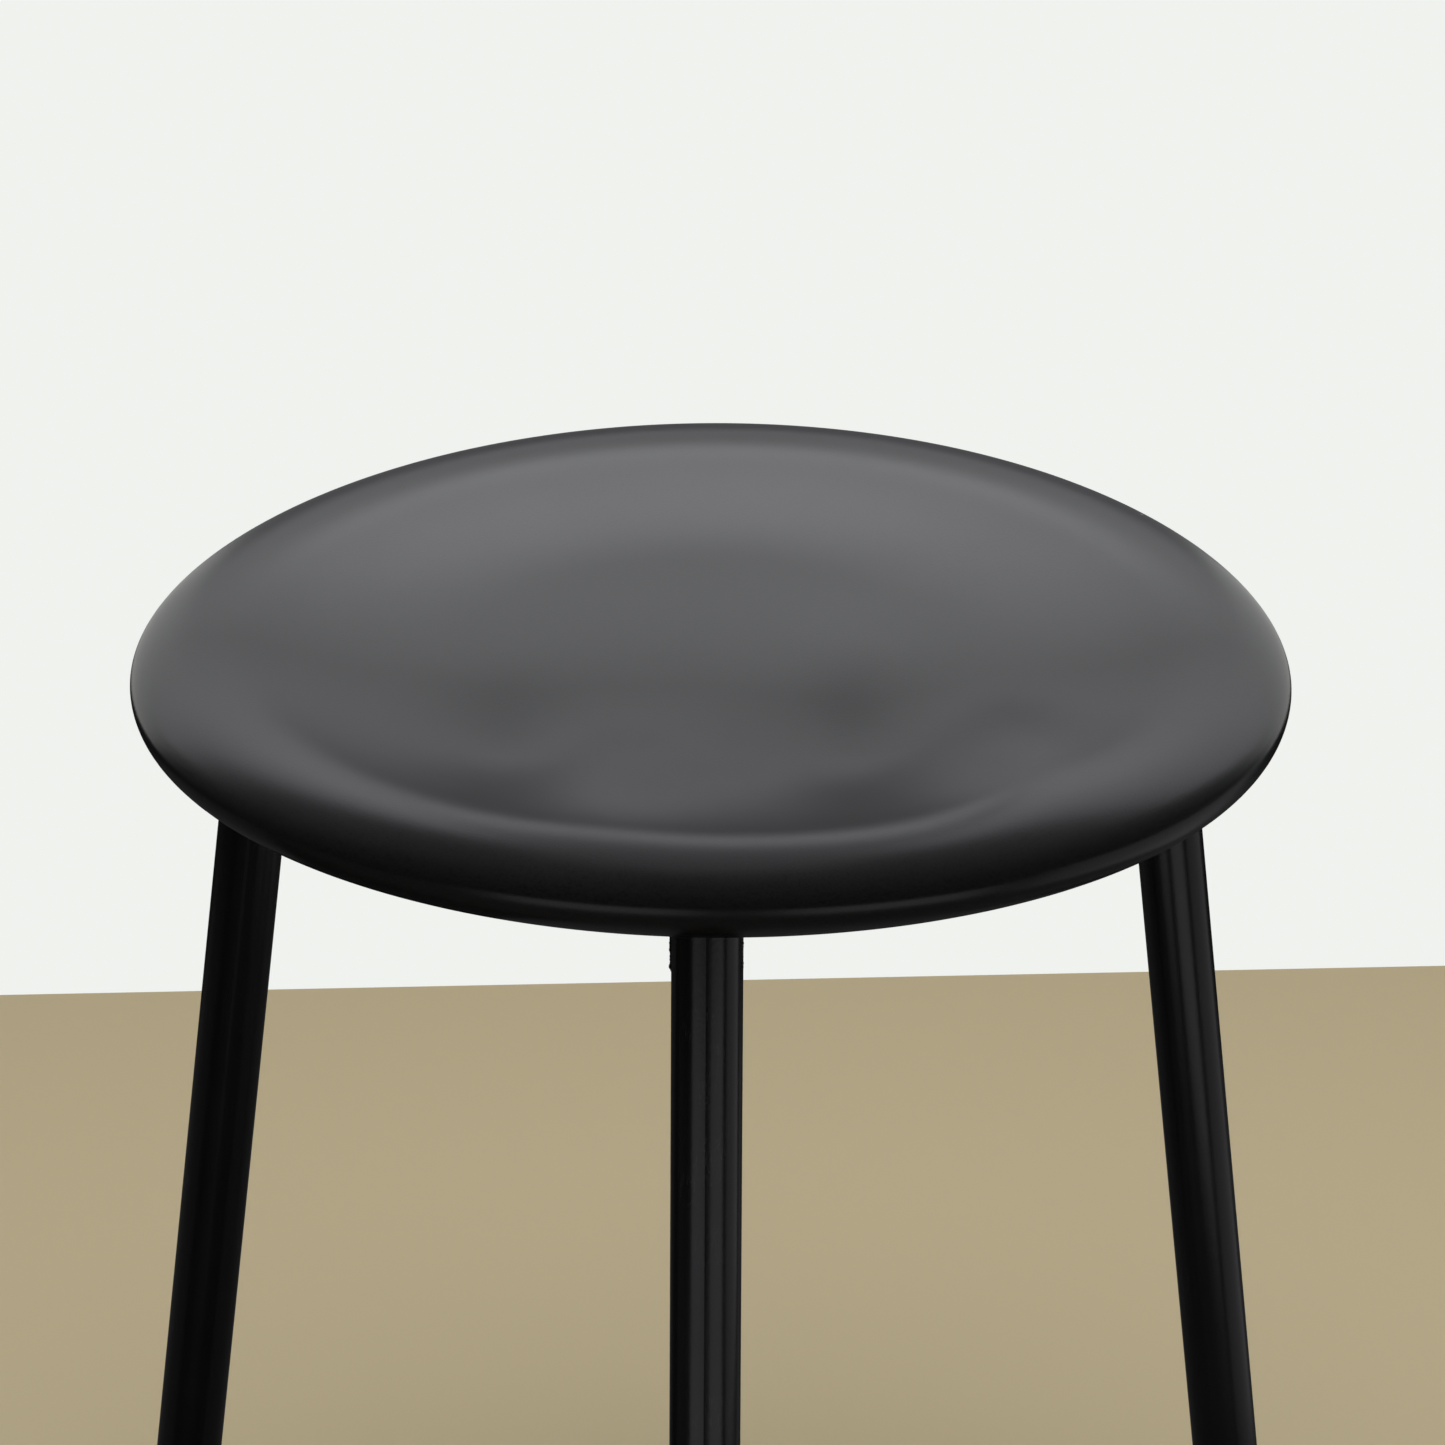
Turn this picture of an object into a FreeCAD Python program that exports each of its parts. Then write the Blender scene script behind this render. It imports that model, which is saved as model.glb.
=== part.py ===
import FreeCAD, Part
import math
import os
import re

import Sketcher

# A low round stool that stands on four straight splayed tube legs.
# Millimetres. The origin is on the floor under the middle of the seat, +Z is up,
# and the front leg stands towards -Y.

V = FreeCAD.Vector
doc = FreeCAD.newDocument("stool")

# ---------------------------------------------------------------- driving sizes

SIZES = [
    # the whole stool
    ("stool_height", "450"),
    ("seat_radius", "190"),
    # seat section: rolled rim, shallow dish, long curve under the edge
    ("nose_radius", "8"),
    ("rim_rise", "14.1"),
    ("rim_inset", "30"),
    ("dish_depth", "11.7"),
    ("dish_border", "105"),
    ("under_drop", "17.5"),
    ("under_curve_width", "50"),
    ("cover_thickness", "1.2"),
    # plywood board inside the pad
    ("board_thickness", "10"),
    ("board_inset", "18"),
    # underside cloth, hem and staples
    ("hem_width", "18"),
    ("dust_margin", "6"),
    ("dust_thickness", "0.6"),
    ("staple_crown", "10"),
    ("staple_width", "1.2"),
    ("staple_thickness", "0.6"),
    ("cover_staple_count", "36"),
    ("dust_staple_count", "16"),
    # tube legs
    ("tube_diameter", "22"),
    ("tube_wall", "1.5"),
    ("leg_inset", "42.7"),
    ("leg_top_gap", "0.3"),
    ("leg_splay", "6.3"),
    ("foot_height", "6"),
    # cross rails of square tube
    ("rail_size", "20"),
    ("rail_wall", "1.5"),
    ("rail_corner", "2"),
    # M6 bolts, washers and tee nuts
    ("bolt_inset", "32"),
    ("bolt_diameter", "6"),
    ("bolt_clearance", "0.6"),
    ("thread_clearance", "0.1"),
    ("bolt_tip_clearance", "0.6"),
    ("bolt_head_flats", "10"),
    ("bolt_head_height", "4"),
    ("bolt_head_chamfer", "0.5"),
    ("washer_diameter", "12.5"),
    ("washer_thickness", "1.6"),
    ("spring_washer_width", "2.2"),
    ("spring_washer_gap", "1.2"),
    ("tee_flange_diameter", "19"),
    ("tee_flange_thickness", "1.4"),
    ("tee_barrel_wall", "0.9"),
    ("tee_bottom_clearance", "1"),
    # foot plugs and soles
    ("plug_stem_length", "20"),
    ("plug_stem_clearance", "0.4"),
    ("plug_wall", "2.2"),
    ("plug_barb_height", "2.4"),
    ("plug_barb_pitch", "5"),
    ("plug_barb_start", "3"),
    ("sole_thickness", "2"),
    ("sole_margin", "1.2"),
    ("sole_edge", "0.5"),
]

# What fits, seats or lines up with another piece follows from the sizes above.
DERIVED = [
    ("equator_z", "=stool_height - rim_rise"),
    ("crest_x", "=seat_radius - rim_inset"),
    ("nose_x", "=seat_radius - nose_radius"),
    ("crest_radius", "=((nose_x - crest_x) ^ 2 + rim_rise ^ 2 - nose_radius ^ 2)"
                     " / (2 * (rim_rise - nose_radius))"),
    ("dish_x", "=seat_radius - dish_border"),
    ("dish_z", "=stool_height - dish_depth"),
    ("under_x", "=seat_radius - under_curve_width"),
    ("under_z", "=equator_z - under_drop"),
    ("board_radius", "=seat_radius - board_inset"),
    ("board_bottom_z", "=under_z + cover_thickness"),
    ("board_top_z", "=board_bottom_z + board_thickness"),
    ("hem_radius", "=under_x - hem_width"),
    ("cover_staple_radius", "=under_x - hem_width / 2"),
    ("bolt_circle_radius", "=hem_radius - bolt_inset"),
    ("staple_z", "=under_z - staple_thickness"),
    ("dust_radius", "=under_x - dust_margin"),
    ("dust_z", "=staple_z - dust_thickness"),
    ("dust_staple_radius", "=dust_radius - staple_width * 3"),
    ("dust_staple_z", "=dust_z - staple_thickness"),
    ("rail_top_z", "=dust_z"),
    ("rail_bottom_z", "=rail_top_z - rail_size"),
    ("tube_radius", "=tube_diameter / 2"),
    ("tube_bore", "=tube_radius - tube_wall"),
    ("leg_top_x", "=seat_radius - leg_inset"),
    ("leg_top_z", "=under_z - leg_top_gap"),
    ("leg_end_x", "=leg_top_x + (leg_top_z - foot_height) * tan(leg_splay)"),
    ("leg_floor_x", "=leg_top_x + leg_top_z * tan(leg_splay)"),
    ("leg_length", "=(leg_top_z - foot_height) / cos(leg_splay)"),
    ("rail_end_x", "=leg_top_x + (leg_top_z - rail_top_z + rail_size / 2) * tan(leg_splay)"),
    ("hole_radius", "=(bolt_diameter + bolt_clearance) / 2"),
    ("shank_radius", "=bolt_diameter / 2 - thread_clearance"),
    ("washer_top_z", "=rail_bottom_z"),
    ("washer_z", "=washer_top_z - washer_thickness"),
    ("spring_z", "=washer_z - washer_thickness"),
    ("bolt_length", "=board_top_z - bolt_tip_clearance - spring_z"),
    ("head_z", "=spring_z - bolt_head_height"),
    ("spring_outer", "=bolt_diameter / 2 + thread_clearance + spring_washer_width"),
    ("tee_barrel_radius", "=bolt_diameter / 2 + tee_barrel_wall"),
    ("tee_flange_radius", "=tee_flange_diameter / 2"),
    ("tee_barrel_length", "=board_thickness - tee_flange_thickness - tee_bottom_clearance"),
    ("plug_stem_radius", "=tube_bore - plug_stem_clearance"),
    ("plug_core_radius", "=plug_stem_radius - plug_wall"),
    ("sole_radius", "=tube_radius - sole_margin"),
]

sheet = doc.addObject("Spreadsheet::Sheet", "Sizes")
for row, (alias, content) in enumerate(SIZES + DERIVED, start=1):
    sheet.set(f"A{row}", alias)
    sheet.set(f"B{row}", content)
    sheet.setAlias(f"B{row}", alias)
doc.recompute()


def size(alias):
    """The present value of one named size, as a plain number."""
    return float(getattr(sheet, alias))


def bind(thing, prop, expression):
    """Ties a property to the sheet; bare alias names in the text are looked up there."""
    thing.setExpression(prop, expression)


def of_sheet(formula):
    """Turns 'seat_radius - rim_inset' into 'Sizes.seat_radius - Sizes.rim_inset'."""
    named = {alias for alias, _ in SIZES + DERIVED}
    return re.sub("[a-z_]+", lambda word: f"Sizes.{word[0]}" if word[0] in named else word[0],
                  formula)


def sheet_value(formula):
    """Works out a sum of terms such as 'seat_radius - rail_size/2', for a first shape."""
    total, sign = 0.0, 1.0
    for word in formula.split():
        if word in "+-":
            sign = 1.0 if word == "+" else -1.0
            continue
        factor, _, divisor = word.partition("/")
        number = size(factor) if factor[0].isalpha() else float(factor)
        total += sign * number / float(divisor or 1)
        sign = 1.0
    return total


def negated(formula):
    """The same sum with the sign of every term turned."""
    words = formula.split()
    if words[0] not in "+-":
        words.insert(0, "+")
    swap = {"+": "-", "-": "+"}
    return " ".join(swap.get(word, word) for word in words).removeprefix("+ ")


# ------------------------------------------------------------- sketch helpers

def new_body(label):
    body = doc.addObject("PartDesign::Body", label)
    body.Label = label
    return body


def plane_of(body, role):
    """One of the body's own origin planes, such as XY_Plane."""
    return next(f for f in body.Origin.OriginFeatures if f.Role == role)


def new_sketch(body, name, role="XY_Plane", height=None):
    """An empty sketch on an origin plane, or at a named height above XY_Plane."""
    sketch = body.newObject("Sketcher::SketchObject", name)
    sketch.AttachmentSupport = (plane_of(body, role), [""])
    sketch.MapMode = "FlatFace"
    if height:
        bind(sketch, "AttachmentOffset.Base.z", of_sheet(height))
    return sketch


ORIGIN = (-1, 1)


def dimension(sketch, kind, where, formula):
    """Adds a driving dimension and ties it to a formula of named sizes."""
    number = sketch.addConstraint(Sketcher.Constraint(kind, *where, sheet_value(formula)))
    bind(sketch, f"Constraints[{number}]", of_sheet(formula))


def place(sketch, kind, point, formula):
    """Sets a point's DistanceX or DistanceY from the sketch's origin, of either sign."""
    value = sheet_value(formula)
    if abs(value) < 1e-9:
        axis = -2 if kind == "DistanceX" else -1
        sketch.addConstraint(Sketcher.Constraint("PointOnObject", *point, axis))
    elif value > 0:
        dimension(sketch, kind, (*ORIGIN, *point), formula)
    else:
        dimension(sketch, kind, (*point, *ORIGIN), negated(formula))


def circle(sketch, radius, at=None):
    """A circle about the sketch's origin, or about a point at a formula along its X axis."""
    x = sheet_value(at) if at else 0.0
    number = sketch.addGeometry(Part.Circle(V(x, 0, 0), V(0, 0, 1), sheet_value(radius)))
    dimension(sketch, "Radius", (number,), radius)
    place(sketch, "DistanceX", (number, 3), at or "0")
    place(sketch, "DistanceY", (number, 3), "0")


def outline(sketch, corners):
    """A closed run of straight lines through (x formula, y formula) corners."""
    points = [V(sheet_value(x), sheet_value(y), 0) for x, y in corners]
    first = sketch.GeometryCount
    for here, there in zip(points, points[1:] + points[:1]):
        sketch.addGeometry(Part.LineSegment(here, there))
    for step, (x, y) in enumerate(corners):
        line, after = first + step, first + (step + 1) % len(corners)
        sketch.addConstraint(Sketcher.Constraint("Coincident", line, 2, after, 1))
        place(sketch, "DistanceX", (line, 1), x)
        place(sketch, "DistanceY", (line, 1), y)


# ----------------------------------------------------------- feature helpers

def pad(body, sketch, length, midplane=False):
    feature = body.newObject("PartDesign::Pad", f"{sketch.Name}_pad")
    feature.Profile = sketch
    feature.Midplane = midplane
    bind(feature, "Length", of_sheet(length))
    return feature


def pocket(body, sketch, length=None, upward=False):
    """Cuts down from the sketch, or up, by a length or through all."""
    feature = body.newObject("PartDesign::Pocket", f"{sketch.Name}_cut")
    feature.Profile = sketch
    feature.Reversed = upward
    if length:
        bind(feature, "Length", of_sheet(length))
    else:
        feature.Type = "ThroughAll"
    return feature


def turned(body, sketch, kind="Revolution"):
    """Revolves the sketch, or cuts its revolved shape, about the sketch's upright axis."""
    feature = body.newObject(f"PartDesign::{kind}", f"{sketch.Name}_turned")
    feature.Profile = sketch
    feature.ReferenceAxis = (sketch, ["V_Axis"])
    feature.Angle = 360
    return feature


def around(body, features, count):
    """Repeats features evenly about the stool's upright axis and makes that the tip."""
    doc.recompute()
    pattern = body.newObject("PartDesign::PolarPattern", f"{features[0].Name}_ring")
    pattern.Originals = features
    pattern.Axis = (features[0].Profile[0], ["N_Axis"])
    pattern.Angle = 360
    if isinstance(count, str):
        bind(pattern, "Occurrences", of_sheet(count))
    else:
        pattern.Occurrences = count
    body.Tip = pattern
    return pattern


# ------------------------------------------------------------------ the seat

def seat_section(body, name, inset="0"):
    """Half the seat's section: flat dish floor, dish curve, rolled crest, nose, long
    curve under the edge and flat underside. All of it lies inset inside the skin."""
    skin = sheet_value(inset)
    equator, rise, nose = size("equator_z"), size("rim_rise"), size("nose_radius")
    dish_x, under_x = size("dish_x"), size("under_x")
    crest_x, nose_x, crest = size("crest_x"), size("nose_x"), size("crest_radius")
    depth, drop = size("dish_depth"), size("under_drop")
    reach = ((crest_x - dish_x) ** 2 + depth ** 2) / (2 * depth)
    under = ((nose_x - under_x) ** 2 + drop ** 2 - nose ** 2) / (2 * (drop - nose))
    middle = {
        "dish": V(dish_x, equator + rise - depth + reach - crest, 0),
        "crest": V(crest_x, equator + rise - crest, 0),
        "nose": V(nose_x, equator, 0),
        "under": V(under_x, equator - drop + under, 0),
    }
    floor_end = V(dish_x, equator + rise - depth - skin, 0)
    under_end = V(under_x, equator - drop + skin, 0)

    def towards(start, end, distance):
        return start + (end - start).normalize() * distance

    dish_crest = towards(middle["crest"], middle["dish"], crest - skin)
    crest_nose = towards(middle["crest"], middle["nose"], crest - skin)
    nose_under = towards(middle["under"], middle["nose"], under - skin)

    def arc(centre, start, end):
        """A counter-clockwise arc from start to end."""
        away, back = start - centre, end - centre
        ring = Part.Circle(centre, V(0, 0, 1), away.Length)
        return Part.ArcOfCircle(ring, math.atan2(away.y, away.x), math.atan2(back.y, back.x))

    sketch = new_sketch(body, name, "XZ_Plane")
    axis_top = V(0, floor_end.y, 0)
    axis_bottom = V(0, under_end.y, 0)
    up = sketch.addGeometry(Part.LineSegment(axis_bottom, axis_top))
    floor = sketch.addGeometry(Part.LineSegment(axis_top, floor_end))
    dish = sketch.addGeometry(arc(middle["dish"], floor_end, dish_crest))
    roll = sketch.addGeometry(arc(middle["crest"], crest_nose, dish_crest))
    lip = sketch.addGeometry(arc(middle["nose"], nose_under, crest_nose))
    belly = sketch.addGeometry(arc(middle["under"], under_end, nose_under))
    base = sketch.addGeometry(Part.LineSegment(under_end, axis_bottom))
    add = sketch.addConstraint
    add(Sketcher.Constraint("Coincident", up, 2, floor, 1))
    add(Sketcher.Constraint("Coincident", base, 2, up, 1))
    add(Sketcher.Constraint("PointOnObject", up, 1, -2))
    add(Sketcher.Constraint("PointOnObject", up, 2, -2))
    add(Sketcher.Constraint("Horizontal", floor))
    add(Sketcher.Constraint("Horizontal", base))
    add(Sketcher.Constraint("Tangent", floor, 2, dish, 1))
    add(Sketcher.Constraint("Tangent", dish, 2, roll, 2))
    add(Sketcher.Constraint("Tangent", roll, 1, lip, 2))
    add(Sketcher.Constraint("Tangent", lip, 1, belly, 2))
    add(Sketcher.Constraint("Tangent", belly, 1, base, 1))
    dimension(sketch, "DistanceX", (*ORIGIN, floor, 2), "dish_x")
    dimension(sketch, "DistanceY", (*ORIGIN, floor, 2), f"dish_z - {inset}")
    dimension(sketch, "DistanceX", (*ORIGIN, roll, 3), "crest_x")
    dimension(sketch, "Radius", (roll,), f"crest_radius - {inset}")
    dimension(sketch, "DistanceX", (*ORIGIN, lip, 3), "nose_x")
    dimension(sketch, "DistanceY", (*ORIGIN, lip, 3), "equator_z")
    dimension(sketch, "Radius", (lip,), f"nose_radius - {inset}")
    dimension(sketch, "DistanceX", (*ORIGIN, belly, 1), "under_x")
    dimension(sketch, "DistanceY", (*ORIGIN, belly, 1), f"under_z + {inset}")
    return sketch


def seat_cover():
    """The vinyl skin: one sheet pulled over the rim and hemmed under the board."""
    body = new_body("seat_cover")
    turned(body, seat_section(body, "cover_outside"))
    turned(body, seat_section(body, "cover_inside", "cover_thickness"), "Groove")
    opening = new_sketch(body, "hem_opening", height="under_z")
    circle(opening, "hem_radius")
    pocket(body, opening, "cover_thickness", upward=True)
    return body


def seat_foam():
    """The moulded foam pad, which rolls over the board's edge."""
    body = new_body("seat_foam")
    turned(body, seat_section(body, "pad_section", "cover_thickness"))
    recess = new_sketch(body, "board_recess", height="board_top_z")
    circle(recess, "board_radius")
    pocket(body, recess)
    return body


def seat_board():
    """The plywood disc, routed under its edge to the curve that the cover follows."""
    body = new_body("seat_board")
    turned(body, seat_section(body, "board_section", "cover_thickness"))
    above = new_sketch(body, "board_top", height="board_top_z")
    circle(above, "seat_radius")
    pocket(body, above, upward=True)
    edge = new_sketch(body, "board_edge", height="board_top_z")
    circle(edge, "seat_radius")
    circle(edge, "board_radius")
    pocket(body, edge)
    seats = new_sketch(body, "tee_flange_seat", height="board_top_z")
    circle(seats, "tee_flange_radius", at="bolt_circle_radius")
    flange_seat = pocket(body, seats, "tee_flange_thickness")
    around(body, [flange_seat], 4)
    bores = new_sketch(body, "tee_barrel_bore", height="board_top_z")
    circle(bores, "tee_barrel_radius", at="bolt_circle_radius")
    around(body, [pocket(body, bores)], 4)
    return body


def tee_nuts():
    """Four flanged nuts let into the board's top face. The threads are left plain."""
    body = new_body("tee_nuts")
    flange = new_sketch(body, "tee_flange", height="board_top_z - tee_flange_thickness")
    circle(flange, "tee_flange_radius", at="bolt_circle_radius")
    barrel = new_sketch(body, "tee_barrel", height="board_top_z - tee_flange_thickness"
                                                   " - tee_barrel_length")
    circle(barrel, "tee_barrel_radius", at="bolt_circle_radius")
    bore = new_sketch(body, "tee_bore", height="board_top_z")
    circle(bore, "bolt_diameter/2", at="bolt_circle_radius")
    plate = pad(body, flange, "tee_flange_thickness")
    pipe = pad(body, barrel, "tee_barrel_length")
    around(body, [plate, pipe, pocket(body, bore)], 4)
    return body


# ----------------------------------------------------------------- underside

def staples(label, radius, height, count):
    """A ring of staple crowns, each laid along the ring and none of them over a rail."""
    body = new_body(label)
    crown = new_sketch(body, f"{label}_crown", height=height)
    outline(crown, [
        (f"{radius} - staple_width/2", "0 - staple_crown/2"),
        (f"{radius} + staple_width/2", "0 - staple_crown/2"),
        (f"{radius} + staple_width/2", "staple_crown/2"),
        (f"{radius} - staple_width/2", "staple_crown/2"),
    ])
    around(body, [pad(body, crown, "staple_thickness")], count)
    body.Placement.Rotation = FreeCAD.Rotation(V(0, 0, 1), 1)
    bind(body, "Placement.Rotation.Angle", of_sheet(f"180 / {count}"))
    return body


def dust_cover():
    """The black non-woven cloth that hides the hem, with holes for the bolts."""
    body = new_body("dust_cover")
    disc = new_sketch(body, "dust_disc", height="dust_z")
    circle(disc, "dust_radius")
    pad(body, disc, "dust_thickness")
    holes = new_sketch(body, "dust_hole", height="staple_z")
    circle(holes, "hole_radius", at="bolt_circle_radius")
    around(body, [pocket(body, holes)], 4)
    return body


# ---------------------------------------------------------------- cross rails

def leg_rod(side, turn):
    """A rod that fills one leg's outside. It copes the ends of the rails that meet it."""
    rod = doc.addObject("Part::Cylinder", f"cope_{side}")
    bind(rod, "Radius", of_sheet("tube_radius"))
    bind(rod, "Height", of_sheet("leg_length + tube_diameter"))
    spin = FreeCAD.Rotation(V(0, 0, 1), turn)
    rod.Placement = FreeCAD.Placement(V(), FreeCAD.Rotation(spin.multVec(V(0, -1, 0)), 1))
    bind(rod, "Placement.Base.x", of_sheet(f"leg_end_x * cos({turn})"))
    bind(rod, "Placement.Base.y", of_sheet(f"leg_end_x * sin({turn})"))
    bind(rod, "Placement.Base.z", of_sheet("foot_height"))
    bind(rod, "Placement.Rotation.Angle", of_sheet("leg_splay"))
    return rod


def square_tube(name, start, length, turn, holes):
    """A length of square tube from start along its own X axis, drilled for seat bolts."""
    body = new_body(name)
    section = new_sketch(body, f"{name}_section", "YZ_Plane")
    bind(section, "AttachmentOffset.Base.z", of_sheet(start))
    outline(section, [("- rail_size/2", "rail_bottom_z"), ("rail_size/2", "rail_bottom_z"),
                      ("rail_size/2", "rail_top_z"), ("- rail_size/2", "rail_top_z")])
    bar = pad(body, section, length)
    doc.recompute()
    corners = [f"Edge{number}" for number, edge in enumerate(bar.Shape.Edges, start=1)
               if abs(edge.Vertexes[0].X - edge.Vertexes[-1].X) > 1]
    round_corners = body.newObject("PartDesign::Fillet", f"{name}_corners")
    round_corners.Base = (bar, corners)
    bind(round_corners, "Radius", of_sheet("rail_corner"))
    bore = new_sketch(body, f"{name}_bore", "YZ_Plane")
    bind(bore, "AttachmentOffset.Base.z", of_sheet(start))
    half, low, high = "rail_size/2 - rail_wall", "rail_bottom_z + rail_wall", "rail_top_z - rail_wall"
    outline(bore, [(negated(half), low), (half, low), (half, high), (negated(half), high)])
    pocket(body, bore, length, upward=True)
    drill = new_sketch(body, f"{name}_drill", height="rail_top_z")
    circle(drill, "hole_radius", at="bolt_circle_radius")
    around(body, [pocket(body, drill, "rail_size")], holes)
    body.Placement.Rotation = FreeCAD.Rotation(V(0, 0, 1), turn)
    return body


def coped(label, tube, rods):
    """The tube with its ends cut to sit against the legs."""
    for number, rod in enumerate(rods):
        cut = doc.addObject("Part::Cut", f"{label}_cope_{number}")
        cut.Base = tube
        cut.Tool = rod
        tube = cut
    tube.Label = label
    return tube


def cross_rails():
    """One rail from the left leg to the right one, and a half rail to the front and back."""
    rods = {side: leg_rod(side, turn) for side, turn in SIDES}
    long_tube = square_tube("long_tube", "- rail_end_x", "rail_end_x + rail_end_x", 0, 2)
    made = [coped("cross_rail", long_tube, [rods["left"], rods["right"]])]
    for side, turn in SIDES:
        if side in ("front", "back"):
            tube = square_tube(f"{side}_tube", "rail_size/2", "rail_end_x - rail_size/2", turn, 1)
            made.append(coped(f"half_rail_{side}", tube, [rods[side]]))
    return made


# ----------------------------------------------------------------- fasteners

def mounting_bolts():
    """Four hexagon-head bolts, whose threads are left plain."""
    body = new_body("mounting_bolts")
    head = new_sketch(body, "bolt_head", height="head_z")
    across = size("bolt_head_flats")
    centre = size("bolt_circle_radius")
    corner = across / math.sqrt(3)
    tips = [V(centre + corner * math.cos(math.radians(60 * step)),
              corner * math.sin(math.radians(60 * step)), 0) for step in range(6)]
    for here, there in zip(tips, tips[1:] + tips[:1]):
        head.addGeometry(Part.LineSegment(here, there))
    guide = head.addGeometry(Part.Circle(V(centre, 0, 0), V(0, 0, 1), corner), True)
    for step in range(6):
        after = (step + 1) % 6
        head.addConstraint(Sketcher.Constraint("Coincident", step, 2, after, 1))
        head.addConstraint(Sketcher.Constraint("PointOnObject", step, 1, guide))
        if after:
            head.addConstraint(Sketcher.Constraint("Equal", step, after))
    place(head, "DistanceX", (guide, 3), "bolt_circle_radius")
    place(head, "DistanceY", (guide, 3), "0")
    head.addConstraint(Sketcher.Constraint("PointOnObject", 0, 1, -1))
    radius = head.addConstraint(Sketcher.Constraint("Radius", guide, corner))
    bind(head, f"Constraints[{radius}]", of_sheet("bolt_head_flats / sqrt(3)"))
    shank = new_sketch(body, "bolt_shank", height="spring_z")
    circle(shank, "shank_radius", at="bolt_circle_radius")
    around(body, [pad(body, head, "bolt_head_height"), pad(body, shank, "bolt_length")], 4)
    return body


def washers(label, height, outer, gap=None):
    """A ring of four washers; a gap makes them split spring washers."""
    body = new_body(label)
    ring = new_sketch(body, f"{label}_ring", height=height)
    circle(ring, outer, at="bolt_circle_radius")
    circle(ring, "hole_radius", at="bolt_circle_radius")
    features = [pad(body, ring, "washer_thickness")]
    if gap:
        slit = new_sketch(body, f"{label}_slit", height=height)
        outline(slit, [("bolt_circle_radius", f"- {gap}/2"),
                       (f"bolt_circle_radius + {outer} + {gap}", f"- {gap}/2"),
                       (f"bolt_circle_radius + {outer} + {gap}", f"{gap}/2"),
                       ("bolt_circle_radius", f"{gap}/2")])
        features.append(pocket(body, slit, "washer_thickness", upward=True))
    around(body, features, 4)
    return body


# ---------------------------------------------------------------- legs and feet

SIDES = [("front", -90), ("right", 0), ("back", 90), ("left", 180)]


def along_leg(sketch, axis):
    """Moves a sketch's origin to the tube's cut end and leans it with the leg."""
    lean = FreeCAD.Rotation(axis, size("leg_splay"))
    sketch.AttachmentOffset = FreeCAD.Placement(V(), lean)
    bind(sketch, "AttachmentOffset.Rotation.Angle", of_sheet("leg_splay"))
    bind(sketch, "AttachmentOffset.Base.x", of_sheet("leg_end_x"))
    upright = "z" if axis.z == 0 else "y"
    bind(sketch, f"AttachmentOffset.Base.{upright}", of_sheet("foot_height"))


def leg(side, turn):
    """A straight tube, cut square at the foot and level at the top, under the seat."""
    body = new_body(f"leg_{side}")
    ring = new_sketch(body, f"tube_{side}")
    along_leg(ring, V(0, -1, 0))
    circle(ring, "tube_radius")
    circle(ring, "tube_bore")
    pad(body, ring, "leg_length + tube_diameter")
    level = new_sketch(body, f"tube_top_{side}", height="leg_top_z")
    circle(level, "tube_diameter + tube_diameter", at="leg_top_x")
    pocket(body, level, upward=True)
    body.Placement.Rotation = FreeCAD.Rotation(V(0, 0, 1), turn)
    return body


def foot_plug(side, turn):
    """A cored nylon plug with barbs on its stem and a flange that is cut level below."""
    body = new_body(f"foot_plug_{side}")
    profile = new_sketch(body, f"plug_{side}", "XZ_Plane")
    along_leg(profile, V(0, 0, 1))
    outline(profile, [
        ("0", "- foot_height - tube_diameter/2"),
        ("tube_radius", "- foot_height - tube_diameter/2"),
        ("tube_radius", "0"),
        ("plug_stem_radius", "0"),
        ("plug_stem_radius", "plug_stem_length"),
        ("plug_core_radius", "plug_stem_length"),
        ("plug_core_radius", "plug_wall"),
        ("0", "plug_wall"),
    ])
    turned(body, profile)
    barb = new_sketch(body, f"barb_{side}", "XZ_Plane")
    along_leg(barb, V(0, 0, 1))
    outline(barb, [
        ("plug_stem_radius - plug_wall/2", "plug_barb_start"),
        ("tube_bore", "plug_barb_start"),
        ("plug_stem_radius", "plug_barb_start + plug_barb_height"),
        ("plug_stem_radius - plug_wall/2", "plug_barb_start + plug_barb_height"),
    ])
    ridge = turned(body, barb)
    doc.recompute()
    row = body.newObject("PartDesign::LinearPattern", f"barbs_{side}")
    row.Originals = [ridge]
    row.Direction = (barb, ["V_Axis"])
    row.Occurrences = 3
    row.Mode = "Spacing"
    bind(row, "Offset", of_sheet("plug_barb_pitch"))
    body.Tip = row
    level = new_sketch(body, f"plug_level_{side}", height="sole_thickness")
    circle(level, "tube_diameter + tube_diameter", at="leg_floor_x")
    pocket(body, level)
    body.Placement.Rotation = FreeCAD.Rotation(V(0, 0, 1), turn)
    return body


def foot_sole(side, turn):
    """The rubber pad under a plug, which meets the floor flat."""
    body = new_body(f"foot_sole_{side}")
    disc = new_sketch(body, f"sole_{side}")
    circle(disc, "sole_radius", at="leg_floor_x")
    slab = pad(body, disc, "sole_thickness")
    doc.recompute()
    lower = [f"Edge{number}" for number, edge in enumerate(slab.Shape.Edges, start=1)
             if edge.BoundBox.ZMax < size("sole_thickness") / 2]
    broken = body.newObject("PartDesign::Chamfer", f"sole_edge_{side}")
    broken.Base = (slab, lower)
    bind(broken, "Size", of_sheet("sole_edge"))
    body.Placement.Rotation = FreeCAD.Rotation(V(0, 0, 1), turn)
    return body


# ------------------------------------------------------------ build and export

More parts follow.
